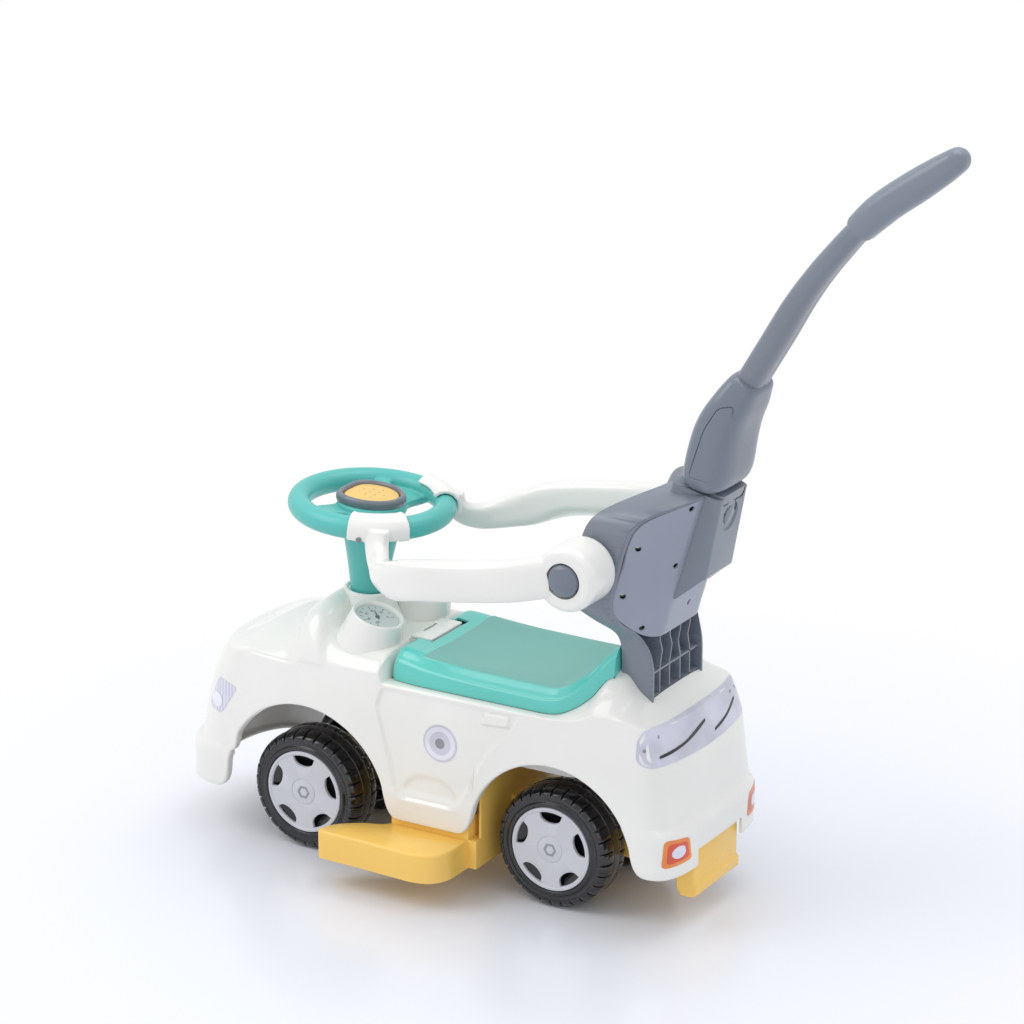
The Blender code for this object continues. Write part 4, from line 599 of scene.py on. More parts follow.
# Rear stop block
# A yellow tipping guard behind the rear axle, with a thicker band along its foot.
stop_side = [(296.4, 42), (302, 32), (317, 32), (322, 35.5), (322, 46.5), (319, 49), (319, 88),
             (315, 91.6), (299, 91.6), (296.4, 88)]
stop = prism("rear_stop_skin", rounded(stop_side, 1.6, closed=True), "Y", -51, 51)
softened(stop, 2.4, 3, 60)
dressed(stop, yellow)
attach(stop, "car")
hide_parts("rear_stop_block")


# Axles, push nuts, spacers and steering shaft
# Bright zinc-plated rods and caps, faintly brushed, with black nylon sleeves between the
# wheels and what carries them.
zinc, shader, pen, place = finish("zinc_plate")
drawn = pen.node("ShaderNodeMapping", {}, {"Vector": place, "Scale": (900, 20, 900)})
streak = drawn.noise(1.0, 3.0)
tint = streak.step(0.3, 0.7).blend((0.48, 0.49, 0.51, 1), (0.66, 0.67, 0.69, 1))
tint.into(shader.inputs["Base Color"])
(streak * 0.2 + 0.22).into(shader.inputs["Roughness"])
shader.inputs["Metallic"].default_value = 1.0
nylon = moulded("black_nylon", (0.012, 0.012, 0.014), 0.38, grain=0.12)
for node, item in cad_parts.items():
    if node.endswith("_axle") or node.startswith("push_nut") or node == "steering_shaft":
        painted(item, zinc)
    elif node.startswith("spacer") or node in ("front_axle_bracket", "sound_box"):
        painted(item, nylon)


# Wheels
# Hollow-sided tyres blown in glossy black plastic. Thirty lugs on each shoulder are
# parted by narrow slits, and a bead runs round the seat of the hubcap.
def ring_of(item, number, material, place):
    """Copies of a piece round the Z axis by Geometry Nodes, kept as one plain mesh."""
    tree = bpy.data.node_groups.new(item.name + "_ring", "GeometryNodeTree")
    tree.interface.new_socket("Piece", in_out="INPUT", socket_type="NodeSocketGeometry")
    counter = tree.interface.new_socket("Count", in_out="INPUT", socket_type="NodeSocketInt")
    tree.interface.new_socket("Ring", in_out="OUTPUT", socket_type="NodeSocketGeometry")
    start, end = tree.nodes.new("NodeGroupInput"), tree.nodes.new("NodeGroupOutput")
    pen = Wire(tree)
    total = Wire(tree, start.outputs["Count"])
    angle = pen.node("GeometryNodeInputIndex").maths("DIVIDE", total) * (2 * math.pi)
    copies = pen.node("GeometryNodeInstanceOnPoints", {},
                      {"Points": pen.node("GeometryNodePoints", {}, {"Count": total}),
                       "Instance": Wire(tree, start.outputs["Piece"]),
                       "Rotation": pen.node("ShaderNodeCombineXYZ", {}, {"Z": angle})})
    real = pen.node("GeometryNodeRealizeInstances", {}, {"Geometry": copies})
    ready = pen.node("GeometryNodeSetMaterial", {}, {"Geometry": real, "Material": material})
    ready.into(end.inputs[0])
    modifier = item.modifiers.new("ring", "NODES")
    modifier.node_group = tree
    modifier[counter.identifier] = number
    formed(item).data.transform(place)
    return item


def merged(name, items):
    """Several pieces of one material in one object."""
    bm = bmesh.new()
    for item in items:
        bm.from_mesh(item.data)
        bpy.data.objects.remove(item)
    mesh = bpy.data.meshes.new(name)
    bm.to_mesh(mesh)
    bm.free()
    return linked(name, mesh)


tyre_black = moulded("tyre_black", (0.008, 0.008, 0.010), 0.17, coat=0.4, orange_peel=0.10)
tyre_profile = rounded([(4.4, -25), (12, -25), (16, 3), (53, 3), (54.2, -26.6), (58, -27),
                        (62, -26), (65.5, -20), (67.6, -12), (68, -7.5), (69.6, -6.5), (69.6, 6.5),
                        (68, 7.5), (67.6, 12), (65.5, 20), (62, 25), (59, 25.4), (57, 24.4),
                        (55, 24.8), (53.6, 26.8), (50.6, 26.9), (49.3, 25.6), (49.1, 22.6),
                        (12, 10), (4.4, 10)], 0.9, 3)
lug_section = rounded([(60.2, 23), (60.8, 26.2), (64.4, 25.4), (67.6, 22), (69.5, 17), (70, 11),
                       (70, 8), (67, 6.8)], 1.2, 2, closed=True)
lug_turns = ((-5.5, 1.3), (-5.1, 0.35), (-4.4, 0), (-1.5, 0), (1.5, 0), (4.4, 0), (5.1, 0.35),
             (5.5, 1.3))
LUGS, HALF_PITCH, HALF_TRACK = 30, 6, 63.5
wheel_frames = {}
for name, x, y in [(end + "_" + side_name, x, HALF_TRACK * side) for end, x in
                   (("front", -HALF_BASE), ("rear", HALF_BASE)) for side_name, side in SIDES]:
    wheel_frames[name] = aimed(spot(x, y, AXLE_HEIGHT), (0, y, 0))
    parts = [turned("tyre", tyre_profile, wheel_frames[name], 120, bored=True)]
    for half in (1, -1):
        rows = []
        for angle, sunk in lug_turns:
            turn = Matrix.Rotation(math.radians(angle + (HALF_PITCH if half < 0 else 0)), 4, "Z")
            rows.append(put(turn, [(r - sunk, 0, half * (h - sunk * (h > 20)))
                                   for r, h in lug_section]))
        parts.append(ring_of(skin("lug", rows), LUGS, tyre_black, wheel_frames[name]))
    tyre = merged("tyre_" + name, parts)
    dressed(tyre, tyre_black)
    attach(tyre, name + "_wheel")
    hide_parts("wheel_" + name)


# Hubcaps
# Pressed-in light grey discs with a raised rim, five half-moon windows that show the
# black wheel, and a ring round a hexagonal boss.
def held(name, outlines, place):
    """Loft through outlines of (x, y) at heights, all in a piece's own frame."""
    return skin(name, [put(place, [(x, y, level) for x, y in outline])
                       for level, outline in outlines])


hubcap_grey = moulded("hubcap_grey", (0.60, 0.60, 0.64), 0.30, grain=0.02)
boss_grey = moulded("boss_grey", (0.30, 0.31, 0.33), 0.36)
WINDOWS = 5
window = [(43.6 * math.cos(t), 43.6 * math.sin(t))
          for t in np.radians(np.linspace(-19.5, 19.5, 13))]
window += [(41.1 - 10.5 * math.sqrt(1 - t * t) ** 0.9, 14.4 * t)
           for t in np.linspace(1, -1, 13)[1:-1]]
for name, place in wheel_frames.items():
    dish = [(0, 22.4), (48.6, 22.4), (48.6, 25.6), (47.9, 26.6), (45.6, 26.6), (44.8, 25.7),
            (16.2, 26.9), (15.6, 26.2), (14.8, 26.2), (14.2, 27.0), (0, 27.2)]
    cap = turned("hubcap_" + name + "_skin", dish, place, 120)
    cutters = []
    for step in range(WINDOWS):
        share = (step + 0.25) / WINDOWS * (-1 if "right" in name else 1)
        turn = place @ Matrix.Rotation(2 * math.pi * share, 4, "Z")
        cutters.append(held("window", [(level, window) for level in (15, 35)], turn))
    softened(cut(cap, merged("windows", cutters)), 0.5, 2, 50)
    dressed(cap, hubcap_grey)
    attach(cap, name + "_wheel")
    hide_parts("hubcap_" + name)
    hexagon = turned("hubcap_boss_" + name, [(0, 26.4), (8.2, 26.4), (8.2, 27.3), (7.6, 27.7),
                                             (5.6, 27.7), (4.8, 26.9), (0, 26.9)], place, 6)
    dressed(hexagon, boss_grey, sharp=20)
    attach(hexagon, name + "_wheel")


# Seat lid
# One turquoise lid, hinged behind over the storage tub. A finely grained matt pad stands
# a little proud of its top, and a glossy flank falls from the pad's edge all round.
LID_FRONT, LID_REAR, LID_CREASE, LID_SKIRT = -44.5, 228, 77, 92
LID_AT = [LID_FRONT, -37.5, 0, 60, 150, 162, 177, 195, 213, LID_REAR]
LID_CREST = [259, 262.5, 259, 256, 255, 256, 262, 276, 295, 310]
LID_DIP = [0, 0.5, 3, 5, 5, 5, 5, 5, 4, 3]
LID_WIDTH = [0.90, 0.96, 1, 1, 1, 0.99, 0.96, 0.90, 0.83, 0.74]


def lid_row(x, share=1.0):
    """Half section of the lid at x; a share under 1 gives a row of its front wall."""
    top, dip, narrow = (flowing(x, LID_AT, line) for line in (LID_CREST, LID_DIP, LID_WIDTH))
    top -= 3.4 * (1 - math.sqrt(1 - min(max(1 - (x - LID_FRONT) / 4.5, 0), 1) ** 2))
    crease, skirt = LID_CREASE * narrow, LID_SKIRT * narrow
    foot = max(float(body_top(x, min(skirt / 103, 1))), 229) + 0.9
    drop = top - 9 - foot
    y = [0, 0.5 * crease, 0.86 * crease, crease - 1.5, crease + 0.6, crease + 5.5, skirt - 3.2,
         skirt - 0.6, skirt, skirt]
    z = [top - dip, top - 0.75 * dip, top, top - 1.2, top - 2.6, top - 6.6, top - 11.5,
         foot + 0.45 * drop, foot + 0.2 * drop, foot]
    knot = np.concatenate((np.linspace(0, 2, 9), np.linspace(2, 4, 8)[1:],
                           np.linspace(4, 9, 22)[1:]))
    side = np.stack((flowing(knot, range(10), y), flowing(knot, range(10), z)), 1)
    pad = eased(x, -9.4, -7.8) * eased(crease - 1.0 - side[:, 0], -0.7, 0.7)
    side[:, 1] = foot + share * (side[:, 1] + 0.9 * pad - foot)
    return side


lid_rows = []
lid_stations = (LID_FRONT, -44, -43, -41.5, -39.5, -37, -33, -28, -22, -16, -11, -9.4, -8.9, -8.3,
                -7.8, -4, *np.linspace(2, LID_REAR, 58))
for x, share in ([(LID_FRONT, s) for s in (0, 0.15, 0.4, 0.7, 0.9)] + [(x, 1) for x in lid_stations]
                 + [(LID_REAR, s) for s in (0.9, 0.6, 0.3, 0)]):
    half = lid_row(x, share)
    lid_rows.append([spot(x, -a, b) for a, b in half[::-1]] + [spot(x, a, b) for a, b in half[1:]])
lid = skin("seat_lid_skin", lid_rows, loop=False, capped=False)
if sum(face.normal.z * face.area for face in lid.data.polygons) < 0:
    lid.data.flip_normals()
thickened(lid, 2.5)
for x, y in (((-60, -22), (-34.5, 34.5)), ((-36, -21.5), (34, 43))):
    cut(lid, block("notch", x, y, (200, 300), 0.4))
for name, side in SIDES:
    room = [(0, -46), (50, -46), (41.5, -17), (33.5, 0), (33.5, 20), (0, 20)]
    cut(lid, turned("room", room, pods[name]))
teal_gloss = moulded("turquoise_gloss", (0.125, 0.60, 0.525), 0.22, coat=0.35, grain=0.02)
teal_matt = moulded("turquoise_matt", (0.20, 0.47, 0.415), 0.52, grain=0.45, grain_size=0.9)
dressed(lid, teal_gloss, teal_matt)
for face in lid.data.polygons:
    x, y = (face.center.x - MIDDLE) / MM, abs(face.center.y) / MM
    face.material_index = int(x > -8.4 and y < LID_CREASE * flowing(x, LID_AT, LID_WIDTH) - 1.0
                              and face.normal.z > 0.3)
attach(lid, "seat")
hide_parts("seat_lid")


# Seat catch and its rest
# A flat white tongue with a finger slit lies in the lid's front notch, on a raised pad of
# the body.
rest = block("catch_rest", (-55, -24.4), (-33, 33), (225, 258.6), 1.2)
dressed(rest, white)
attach(rest, "car")
catch = block("seat_catch", (-52, -24.4), (-33, 33), (259, 262.5), 1.0)
cut(catch, block("slit", (-48.2, -44.8), (-14, 14), (259.6, 270), 0.2))
dressed(catch, white)
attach(catch, "catch")
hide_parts("seat_latch")
# Painted shade: a black strip at the bottom of the finger slit makes the slit read dark.
shadow = block("catch_slit_painted_shade", (-48.15, -44.85), (-13.9, 13.9), (259.61, 260.5), 0.1)
dressed(shadow, nylon)
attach(shadow, "catch")


# Steering column
# A tapered turquoise sleeve round the steel shaft, standing in the body's white collar.
column = turned("steering_column_skin", [(20.6, -8), (20.6, 0), (21.6, 8), (23.6, 22), (26.6, 40),
                                         (29.6, 56), (32, 70), (33, 80.6), (5.8, 80.6), (5.8, 75.6),
                                         (29, 74.6), (18, 16), (18, -8)], collar_top, bored=True)
teal_satin = moulded("turquoise_satin", (0.10, 0.50, 0.455), 0.36, coat=0.05, grain=0.16)
dressed(column, teal_satin)
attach(column, "steering")
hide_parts("steering_column")


# Steering wheel
# A thick blown rim with two broad spokes, a raised wedge on each, and a dished hub.
rim_place = collar_top @ Matrix.Translation((0, 0, 100 * MM))


def scaled(outline, centre, factor):
    return [(centre[0] + (x - centre[0]) * factor, centre[1] + (y - centre[1]) * factor)
            for x, y in outline]


def circle(x, y, radius, number, height=None):
    """Round outline, or an oval one when its half height is given."""
    return [(x + radius * math.cos(t), y + (height or radius) * math.sin(t))
            for t in np.linspace(0, 2 * math.pi, number + 1)[:-1]]


def blown(item, rounds):
    """Melt overlapping shapes into one soft-edged skin, as a blown moulding has."""
    return formed(item, ("REMESH", {"mode": "VOXEL", "voxel_size": 1.3 * MM}),
                  ("SMOOTH", {"factor": 0.5, "iterations": rounds}))


RIM_RADIUS, RIM_THICKNESS = 82, 13
parts = [turned("rim", circle(RIM_RADIUS, 0, RIM_THICKNESS, 28), rim_place, bored=True)]
for side in (-1, 1):
    spoke = rounded([(-34, 14 * side), (-58, 52 * side), (-50, 64 * side), (-26, 78 * side),
                     (18, 80 * side), (34, 72 * side), (26, 40 * side), (30, 14 * side)], 7,
                    closed=True)
    narrow, narrower = (scaled(spoke, (-12, 40 * side), factor) for factor in (0.97, 0.95))
    layers = [(-12, narrower), (-9, spoke), (-3.5, spoke), (-2, narrow)]
    parts.append(held("spoke", layers, rim_place))
    wedge = []
    for inset, level in ((0, -9), (1.2, 1.5), (3.4, 3.6)):
        outline = rounded([(-30 + inset, 44 * side), (-42 + inset, 84 * side),
                           (-33 - inset, 88 * side), (-inset, 46 * side)], 3, closed=True)
        wedge.append(put(rim_place, [(x, y, level + min(max(abs(y) - 60, 0), 20) * 0.24)
                                     for x, y in outline]))
    parts.append(skin("wedge", wedge))
parts.append(turned("hub", rounded([(0, -19), (33, -19), (36, -12), (40, -4), (39, 5), (0, 5)], 2),
                    rim_place))
wheel = merged("steering_wheel_skin", parts)
blown(wheel, 7)
cut(wheel, turned("dish", [(0, -15), (27, -15), (29.5, 9), (0, 9)], rim_place, 48),
    bore(5.6, -60, 20, rim_place))
dressed(wheel, teal_satin, sharp=40)
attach(wheel, "steering")
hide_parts("steering_wheel")


# Horn
# A grey bezel with a soft rounded lip holds a yellow press pad with small sound holes.
shield_half = [(-37, 0), (-36.5, 14), (-31, 27), (-14, 35), (9, 34.5), (27, 25), (37, 12), (39, 0)]
shield = curve(shield_half + [(x, -y) for x, y in shield_half[-2::-1]], 61)[:-1]
SHIELD_REACH = 36


def lofted(name, layers, place, ends=True):
    """Loft of the shield outline through (inset, height) layers."""
    rows = []
    for inset, level in layers:
        factor = 1 - inset / SHIELD_REACH
        rows.append(put(place, [(x * factor, y * factor, level) for x, y in shield]))
    return skin(name, rows, capped=ends)


bezel_line = rounded([(0.8, 4.6), (0, 7), (0, 12), (1.8, 15), (4.4, 15.4), (6.4, 13.8), (7, 11),
                      (7, 4.6)], 1.6)
bezel = lofted("horn_bezel", bezel_line + bezel_line[:1], rim_place, ends=False)
slate_gloss = moulded("slate_gloss", (0.17, 0.185, 0.21), 0.30, coat=0.2, grain=0.04)
dressed(bezel, slate_gloss)
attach(bezel, "steering")
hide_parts("horn_ring")
pad_rise = [(7.6, 7.4), (7.6, 10.6), (8.4, 11.9), (11, 12.6), (15, 13.0), (20, 13.3), (28, 13.4),
            (33, 13.4)]
horn = lofted("horn_press_pad", pad_rise, rim_place)
# Painted shade: the sound holes are dark ochre discs at the pad's face, standing for the shade
# inside them.
pits = []
pit_rows = ((-14, (-14, -5, 4, 13)), (-4, (-18, -9, 0, 9, 18)), (6, (-14, -5, 4, 13)),
            (15, (-8, 0, 8)))
for x, y in [(x, y) for x, ys in pit_rows for y in ys]:
    level = 13.5 - 0.8 * eased(math.hypot(x, y), 12, 24)
    place = rim_place @ Matrix.Translation((x * MM, y * MM, 0))
    pits.append(bore(0.95, level - 1, level, place, 12))
pits = merged("horn_sound_holes", pits)
dressed(pits, moulded("ochre_shadow", (0.30, 0.13, 0.02), 0.6))
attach(pits, "horn_button")
yellow_satin = moulded("yellow_satin", (0.86, 0.55, 0.16), 0.42, grain=0.25)
dressed(horn, yellow_satin)
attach(horn, "horn_button")
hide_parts("horn_pad")


# Gauge dials
# A printed light grey disc in each pod, with a scale, plain numbers and a needle.
def figure(text, place, size, x, y, level):
    letters = bpy.data.curves.new("figure", "FONT")
    letters.body, letters.size, letters.extrude = text, size * MM, 0.06 * MM
    letters.align_x = letters.align_y = "CENTER"
    item = linked("figure", letters)
    graph = bpy.context.evaluated_depsgraph_get()
    mesh = bpy.data.meshes.new_from_object(item.evaluated_get(graph))
    bpy.data.objects.remove(item)
    mesh.transform(place @ Matrix.Translation(Vector((x, y, level)) * MM)
                   @ Matrix.Rotation(math.pi / 2, 4, "Z"))
    return linked("figure", mesh)


dial_grey = moulded("dial_grey", (0.60, 0.63, 0.61), 0.40, grain=0.03)
print_grey = moulded("print_grey", (0.09, 0.10, 0.11), 0.45)
for name, place in pods.items():
    disc = [(0, -4.4), (24.8, -4.4), (24.8, -3.6), (24.2, -3.2), (22.6, -3.2), (22.2, -3.6),
            (0, -3.6)]
    face = turned("dial_face_" + name, disc, place)
    dressed(face, dial_grey)
    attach(face, "car")
    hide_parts("gauge_dial_" + name)
    marks = []
    for step in range(11):
        turn = place @ Matrix.Rotation(math.radians(-125 + 25 * step), 4, "Z")
        inner = -16.8 if step % 2 == 0 else -18.4
        mark = [(-21, -0.45), (-21, 0.45), (inner, 0.45), (inner, -0.45)]
        marks.append(held("mark", [(level, mark) for level in (-3.65, -3.48)], turn))
    for step in range(6):
        angle = math.radians(-125 + 50 * step)
        marks.append(figure(str(step * 20 if name == "left" else step), place, 5.2,
                            -12.6 * math.cos(angle), -12.6 * math.sin(angle), -3.56))
    needle = [(-12, 0.35), (-12, -0.35), (5, -1.1), (5, 1.1)]
    turn = place @ Matrix.Rotation(math.radians(-40 if name == "left" else 25), 4, "Z")
    marks.append(held("needle", [(level, needle) for level in (-3.1, -2.7)], turn))
    marks.append(turned("needle_hub", [(0, -3.6), (2.6, -3.6), (2.4, -2.5), (0, -2.2)], place, 24))
    prints = merged("dial_marks_" + name, marks)
    dressed(prints, print_grey)
    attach(prints, "car")


# Backrest shell
# A slate grey moulding that wraps round the child's back. It is open behind, where the
# cover plate closes it, and stands on a ribbed foot in a pocket of the body.
REST_LEAN = math.tan(math.radians(16))


def mirrored(half):
    """Whole outline from one half that ends on the middle plane."""
    return [tuple(p) for p in half] + [(-a, b) for a, b in half[-2::-1]]


rest_outline = mirrored(curve([
    (57, 243), (57, 268), (57.2, 294), (60, 314), (69, 330), (83, 345), (91, 364), (92.5, 386),
    (93, 412), (93, 437), (91.5, 455), (86, 468), (72, 479), (52, 487), (30, 491), (12, 492),
    (0, 492)], 66))
cover_outline = mirrored(curve([
    (30, 321), (48, 322), (62, 326), (75, 336), (87, 351), (91.8, 368), (92.5, 390), (91.8, 414),
    (92, 438), (90.6, 455), (85, 468), (71, 479.5), (51, 487.5), (30, 491), (12, 492),
    (0, 492)], 60))


def rest_rear(y, z, wrap=52):
    share = np.clip((z - 282) / 56, 0, 1)
    return (269 + max(z - 320, 0) * REST_LEAN
            - wrap * (max(abs(y) - 36, 0) / 56) ** 1.75 * share * share * (3 - 2 * share))


def rest_front(y, z):
    return (231 + max(z - 320, 0) * REST_LEAN - 52 * (abs(y) / 92) ** 2.2 * eased(z, 316, 372)
            - 12 * eased(z, 316, 380))


def slab(front_shift, rear_shift, outline):
    """Solid between the backrest's front and rear faces, inside an outline."""
    rows = []
    for z in np.linspace(228, 503, 46):
        ys = np.linspace(-106, 106, 61)
        front = [spot(rest_front(y, z) + front_shift, y, z) for y in ys]
        rows.append(front + [spot(rest_rear(y, z) + rear_shift, y, z) for y in ys[::-1]])
    return cut(skin("slab", rows), prism("side", outline, "X", 90, 400), operation="INTERSECT")


HANDLE_LEAN = math.radians(17)
handle_way = Vector((math.sin(HANDLE_LEAN), 0, math.cos(HANDLE_LEAN)))
mouth = aimed(spot(310, 0, 478), handle_way)


def bar(section, low, high, tilt=0.0, lean=0.0):
    """Bar along the handle's line; the tilt slants its lower end, the lean its rear face."""
    rows = [[(x, y, max(low + tilt * x, -121)) for x, y in section],
            [(x, y, high) for x, y in section]]
    return skin("bar", [put(mouth, [(x - lean * (z + 35), y, z) for x, y, z in row])
                        for row in rows])


rest = slab(0, 0, rest_outline)
cut(rest, slab(3, 60, shrunk(rest_outline, 3)))
ribs = [prism("rib", [(180, low), (290, low), (290, high), (180, high)], "Y", -56.5, 56.5)
        for low, high in ((254, 257), (281.9, 284.1))]
for y, kink in ((-34, 5), (-12, 5), (12, -5), (34, -5)):
    levels = ((256, 0), (286, 0), (304, kink), (316, 0), (360, 0))
    ribs.append(skin("rib", [[spot(x, y + shift + half, z) for x, half in
                              ((150, -1.1), (150, 1.1), (290, 1.1), (290, -1.1))]
                             for z, shift in levels]))
for rib in ribs:
    cut(rib, slab(1, -4, shrunk(rest_outline, 1)), operation="INTERSECT")
rest = united("backrest_shell_skin", rest, *ribs)
round_bar = rounded([(-25.5, -37.5), (25.5, -37.5), (25.5, 37.5), (-25.5, 37.5)], 9, 4, closed=True)
softened(cut(rest, bar(round_bar, -121, 60)), 0.7)
slate = moulded("slate_satin", (0.165, 0.190, 0.235), 0.30, coat=0.12, grain=0.06)
slate_pale = moulded("slate_smooth", (0.285, 0.315, 0.385), 0.26, coat=0.15, grain=0.03)
dressed(rest, slate)
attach(rest, "car")
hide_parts("backrest_shell")


# Backrest cover plate
# A smooth paler plate that closes the shell behind, let into its rim and held by
# countersunk screws.
BLOCK_TILT, BLOCK_LEAN = 1.3, 0.117
socket_section = rounded([(-30, -43), (5, -37), (26, -33), (26, 33), (5, 37), (-30, 43)], 6, 5,
                         closed=True)
cover = slab(-200, 0, shrunk(cover_outline, 3.6))
cut(cover, slab(-260, -3, shrunk(cover_outline, -8)),
    bar(shrunk(socket_section, -0.3), -111.8, 60, BLOCK_TILT, BLOCK_LEAN))
screws = []
for y, z in ((-50, 477), (-83, 434), (-49, 410), (-84, 378), (6, 350), (-64, 338.5), (50, 477),
             (83, 434), (49, 410), (84, 378), (64, 338.5)):
    x = rest_rear(y, z)
    dx = (rest_rear(y, z + 1) - rest_rear(y, z - 1)) / 2
    dy = (rest_rear(y + 1, z) - rest_rear(y - 1, z)) / 2
    hole = aimed(spot(x, y, z), (1, -dy, -dx))
    sink = [(0, -6), (2.9, -6), (3.0, -1.2), (3.9, 0.2), (4.0, 2), (0, 2)]
    cut(cover, turned("sink", sink, hole, 24))
    head = [(0, -6.5), (3.4, -6.5), (3.3, -4.6), (1.2, -4.4), (0.9, -5.2), (0, -5.3)]
    screws.append(turned("screw", head, hole, 16))
softened(cover, 0.6)
dressed(cover, slate_pale)
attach(cover, "car")
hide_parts("backrest_cover")
heads = merged("cover_screws", screws)
dressed(heads, zinc)
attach(heads, "car")


# Handle socket
# A slanted block behind the backrest with a bare round recess, open on top for the
# push handle's tongue.
socket = bar(socket_section, -111, 13, BLOCK_TILT, BLOCK_LEAN)
socket_hole = rounded([(-21.5, -33.5), (3, -31), (21.5, -27.5), (21.5, 27.5), (3, 31),
                       (-21.5, 33.5)], 6, 4, closed=True)
recess = aimed(mouth @ Vector((0.0234, 0, -0.013)), mouth.to_3x3() @ Vector((1, 0, BLOCK_LEAN)))
dimple = turned("dimple", [(0, -1.6), (15.5, -1.6), (17.5, 0.4), (17.6, 3), (0, 3)], recess, 64)
softened(cut(socket, bar(socket_hole, -83, 40), dimple), 1.6, 3, 50)
disc = turned("dimple_disc", [(0, -1.9), (10.5, -1.9), (10.4, -0.7), (9.4, -0.2), (0, 0.1)],
              recess, 48)
socket = merged("handle_socket_skin", [socket, disc])
dressed(socket, moulded("slate_block", (0.185, 0.215, 0.255), 0.26, coat=0.2, grain=0.04))
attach(socket, "car")
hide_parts("handle_socket")


# Push handle
# Three pieces in one curve: a wide rounded foot with an inset panel on each side, a flat
# oval tube with a seam along its top, and a swollen grip.
handle_start = mouth @ Vector((-2 * MM, 0, 2 * MM))
start_x, start_z = (handle_start.x - MIDDLE) / MM, handle_start.z / MM
handle_line = [(start_x, start_z), (322.5, 553), (340.5, 592), (358, 623), (382, 664), (405, 704),
               (428, 738), (450, 766), (474, 794), (500, 819), (532, 843), (562, 865), (586, 883)]
fine_line = np.array(curve(handle_line, 1201))


def walked(points):
    """Length along a line of points up to each of them."""
    return np.concatenate(([0], np.cumsum(np.linalg.norm(np.diff(points, axis=0), axis=1))))


def signed_power(value, power):
    return math.copysign(abs(value) ** power, value)


def swept(name, first, last, stops, widths, depths, power, number, sides=56, ends=(0, 0),
          seam=0.0):
    """Superelliptic section along part of the handle; ends give the lengths of round ends."""
    measured = walked(fine_line)
    length, places = (last - first) * measured[-1], np.arange(len(measured))
    rows = []
    for share in np.sort(np.concatenate((np.linspace(0, 1, number), np.linspace(0, 0.04, 6)[1:],
                                         np.linspace(0.96, 1, 6)[:-1]))):
        index = np.interp(share * length + first * measured[-1], measured, places)
        point = [np.interp(index, places, fine_line[:, k]) for k in (0, 1)]
        low, high = max(int(index) - 8, 0), min(int(index) + 8, len(places) - 1)
        along = Vector((fine_line[high][0] - fine_line[low][0], 0,
                        fine_line[high][1] - fine_line[low][1])).normalized()
        across = Vector((along.z, 0, -along.x))
        width, depth = flowing(share, stops, widths) / 2, flowing(share, stops, depths) / 2
        for end, away in ((ends[0], share * length), (ends[1], (1 - share) * length)):
            if end and away < end:
                lost = end * (1 - math.sqrt(max(1 - (1 - away / end) ** 2, 0.0)))
                width, depth = max(width - lost, 0.4), max(depth - lost, 0.4)
        row = []
        for angle in np.linspace(0, 2 * math.pi, sides + 1)[:-1]:
            c, s = math.cos(angle), math.sin(angle)
            a, b = depth * signed_power(c, 2 / power), width * signed_power(s, 2 / power)
            a *= 1 - seam * math.exp(-(b / 2.2) ** 2)
            row.append(spot(point[0], b, point[1]) + across * a * MM)
        rows.append(row)
    return skin(name, rows)


LOBE_STOPS, PANEL_TURN = [0, 0.18, 0.45, 0.75, 1], 0.30
lobe = swept("handle_lower_skin", 0.025, 0.288, LOBE_STOPS, [90, 96, 93, 84, 60],
             [46, 54, 52, 45, 34], 3.4, 40, 72, ends=(11, 8))
tongue = bar(shrunk(socket_hole, 0.8), -80, 16)
for side in (-1, 1):
    panel = rounded([(-15.5, 27), (14.5, 32), (15.5, 84), (7, 121), (-9, 112), (-15.5, 84)], 6, 5,
                    closed=True)
    c, s = math.cos(PANEL_TURN), math.sin(PANEL_TURN)
    panel = [(start_x + x * c + z * s, start_z - x * s + z * c) for x, z in panel]
    groove = prism("groove", panel, "Y", 30 * side, 60 * side)
    cut(groove, prism("keep", shrunk(panel, 1.3), "Y", 20 * side, 70 * side),
        swept("inner", 0.0, 0.288, LOBE_STOPS, [88, 94.2, 91.2, 82.2, 58.4],
              [64, 64, 64, 60, 60], 3.4, 30, 72))
    cut(lobe, groove)
lobe = united("handle_lower_skin", lobe, tongue)
dressed(lobe, moulded("slate_lobe", (0.175, 0.20, 0.245), 0.30, coat=0.12, grain=0.06))
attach(lobe, "push_handle")
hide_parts("handle_lower")
tube = swept("handle_tube_skin", 0.25, 0.74, [0, 0.33, 0.66, 1], [46, 46, 42, 38],
             [29, 29, 26, 23.5], 2.7, 44, 60, seam=0.05)
dressed(tube, moulded("slate_tube", (0.195, 0.22, 0.262), 0.30, coat=0.12, grain=0.06))
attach(tube, "push_handle")
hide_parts("handle_tube")
grip = swept("handle_grip_skin", 0.70, 1.0, [0, 0.25, 0.5, 0.75, 1], [39, 42, 42, 40, 30],
             [31, 35, 35, 32, 24], 2.5, 44, 60, ends=(7, 13), seam=0.03)
dressed(grip, moulded("slate_grip", (0.21, 0.24, 0.285), 0.33, coat=0.1, grain=0.08))
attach(grip, "push_handle")
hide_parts("handle_grip")


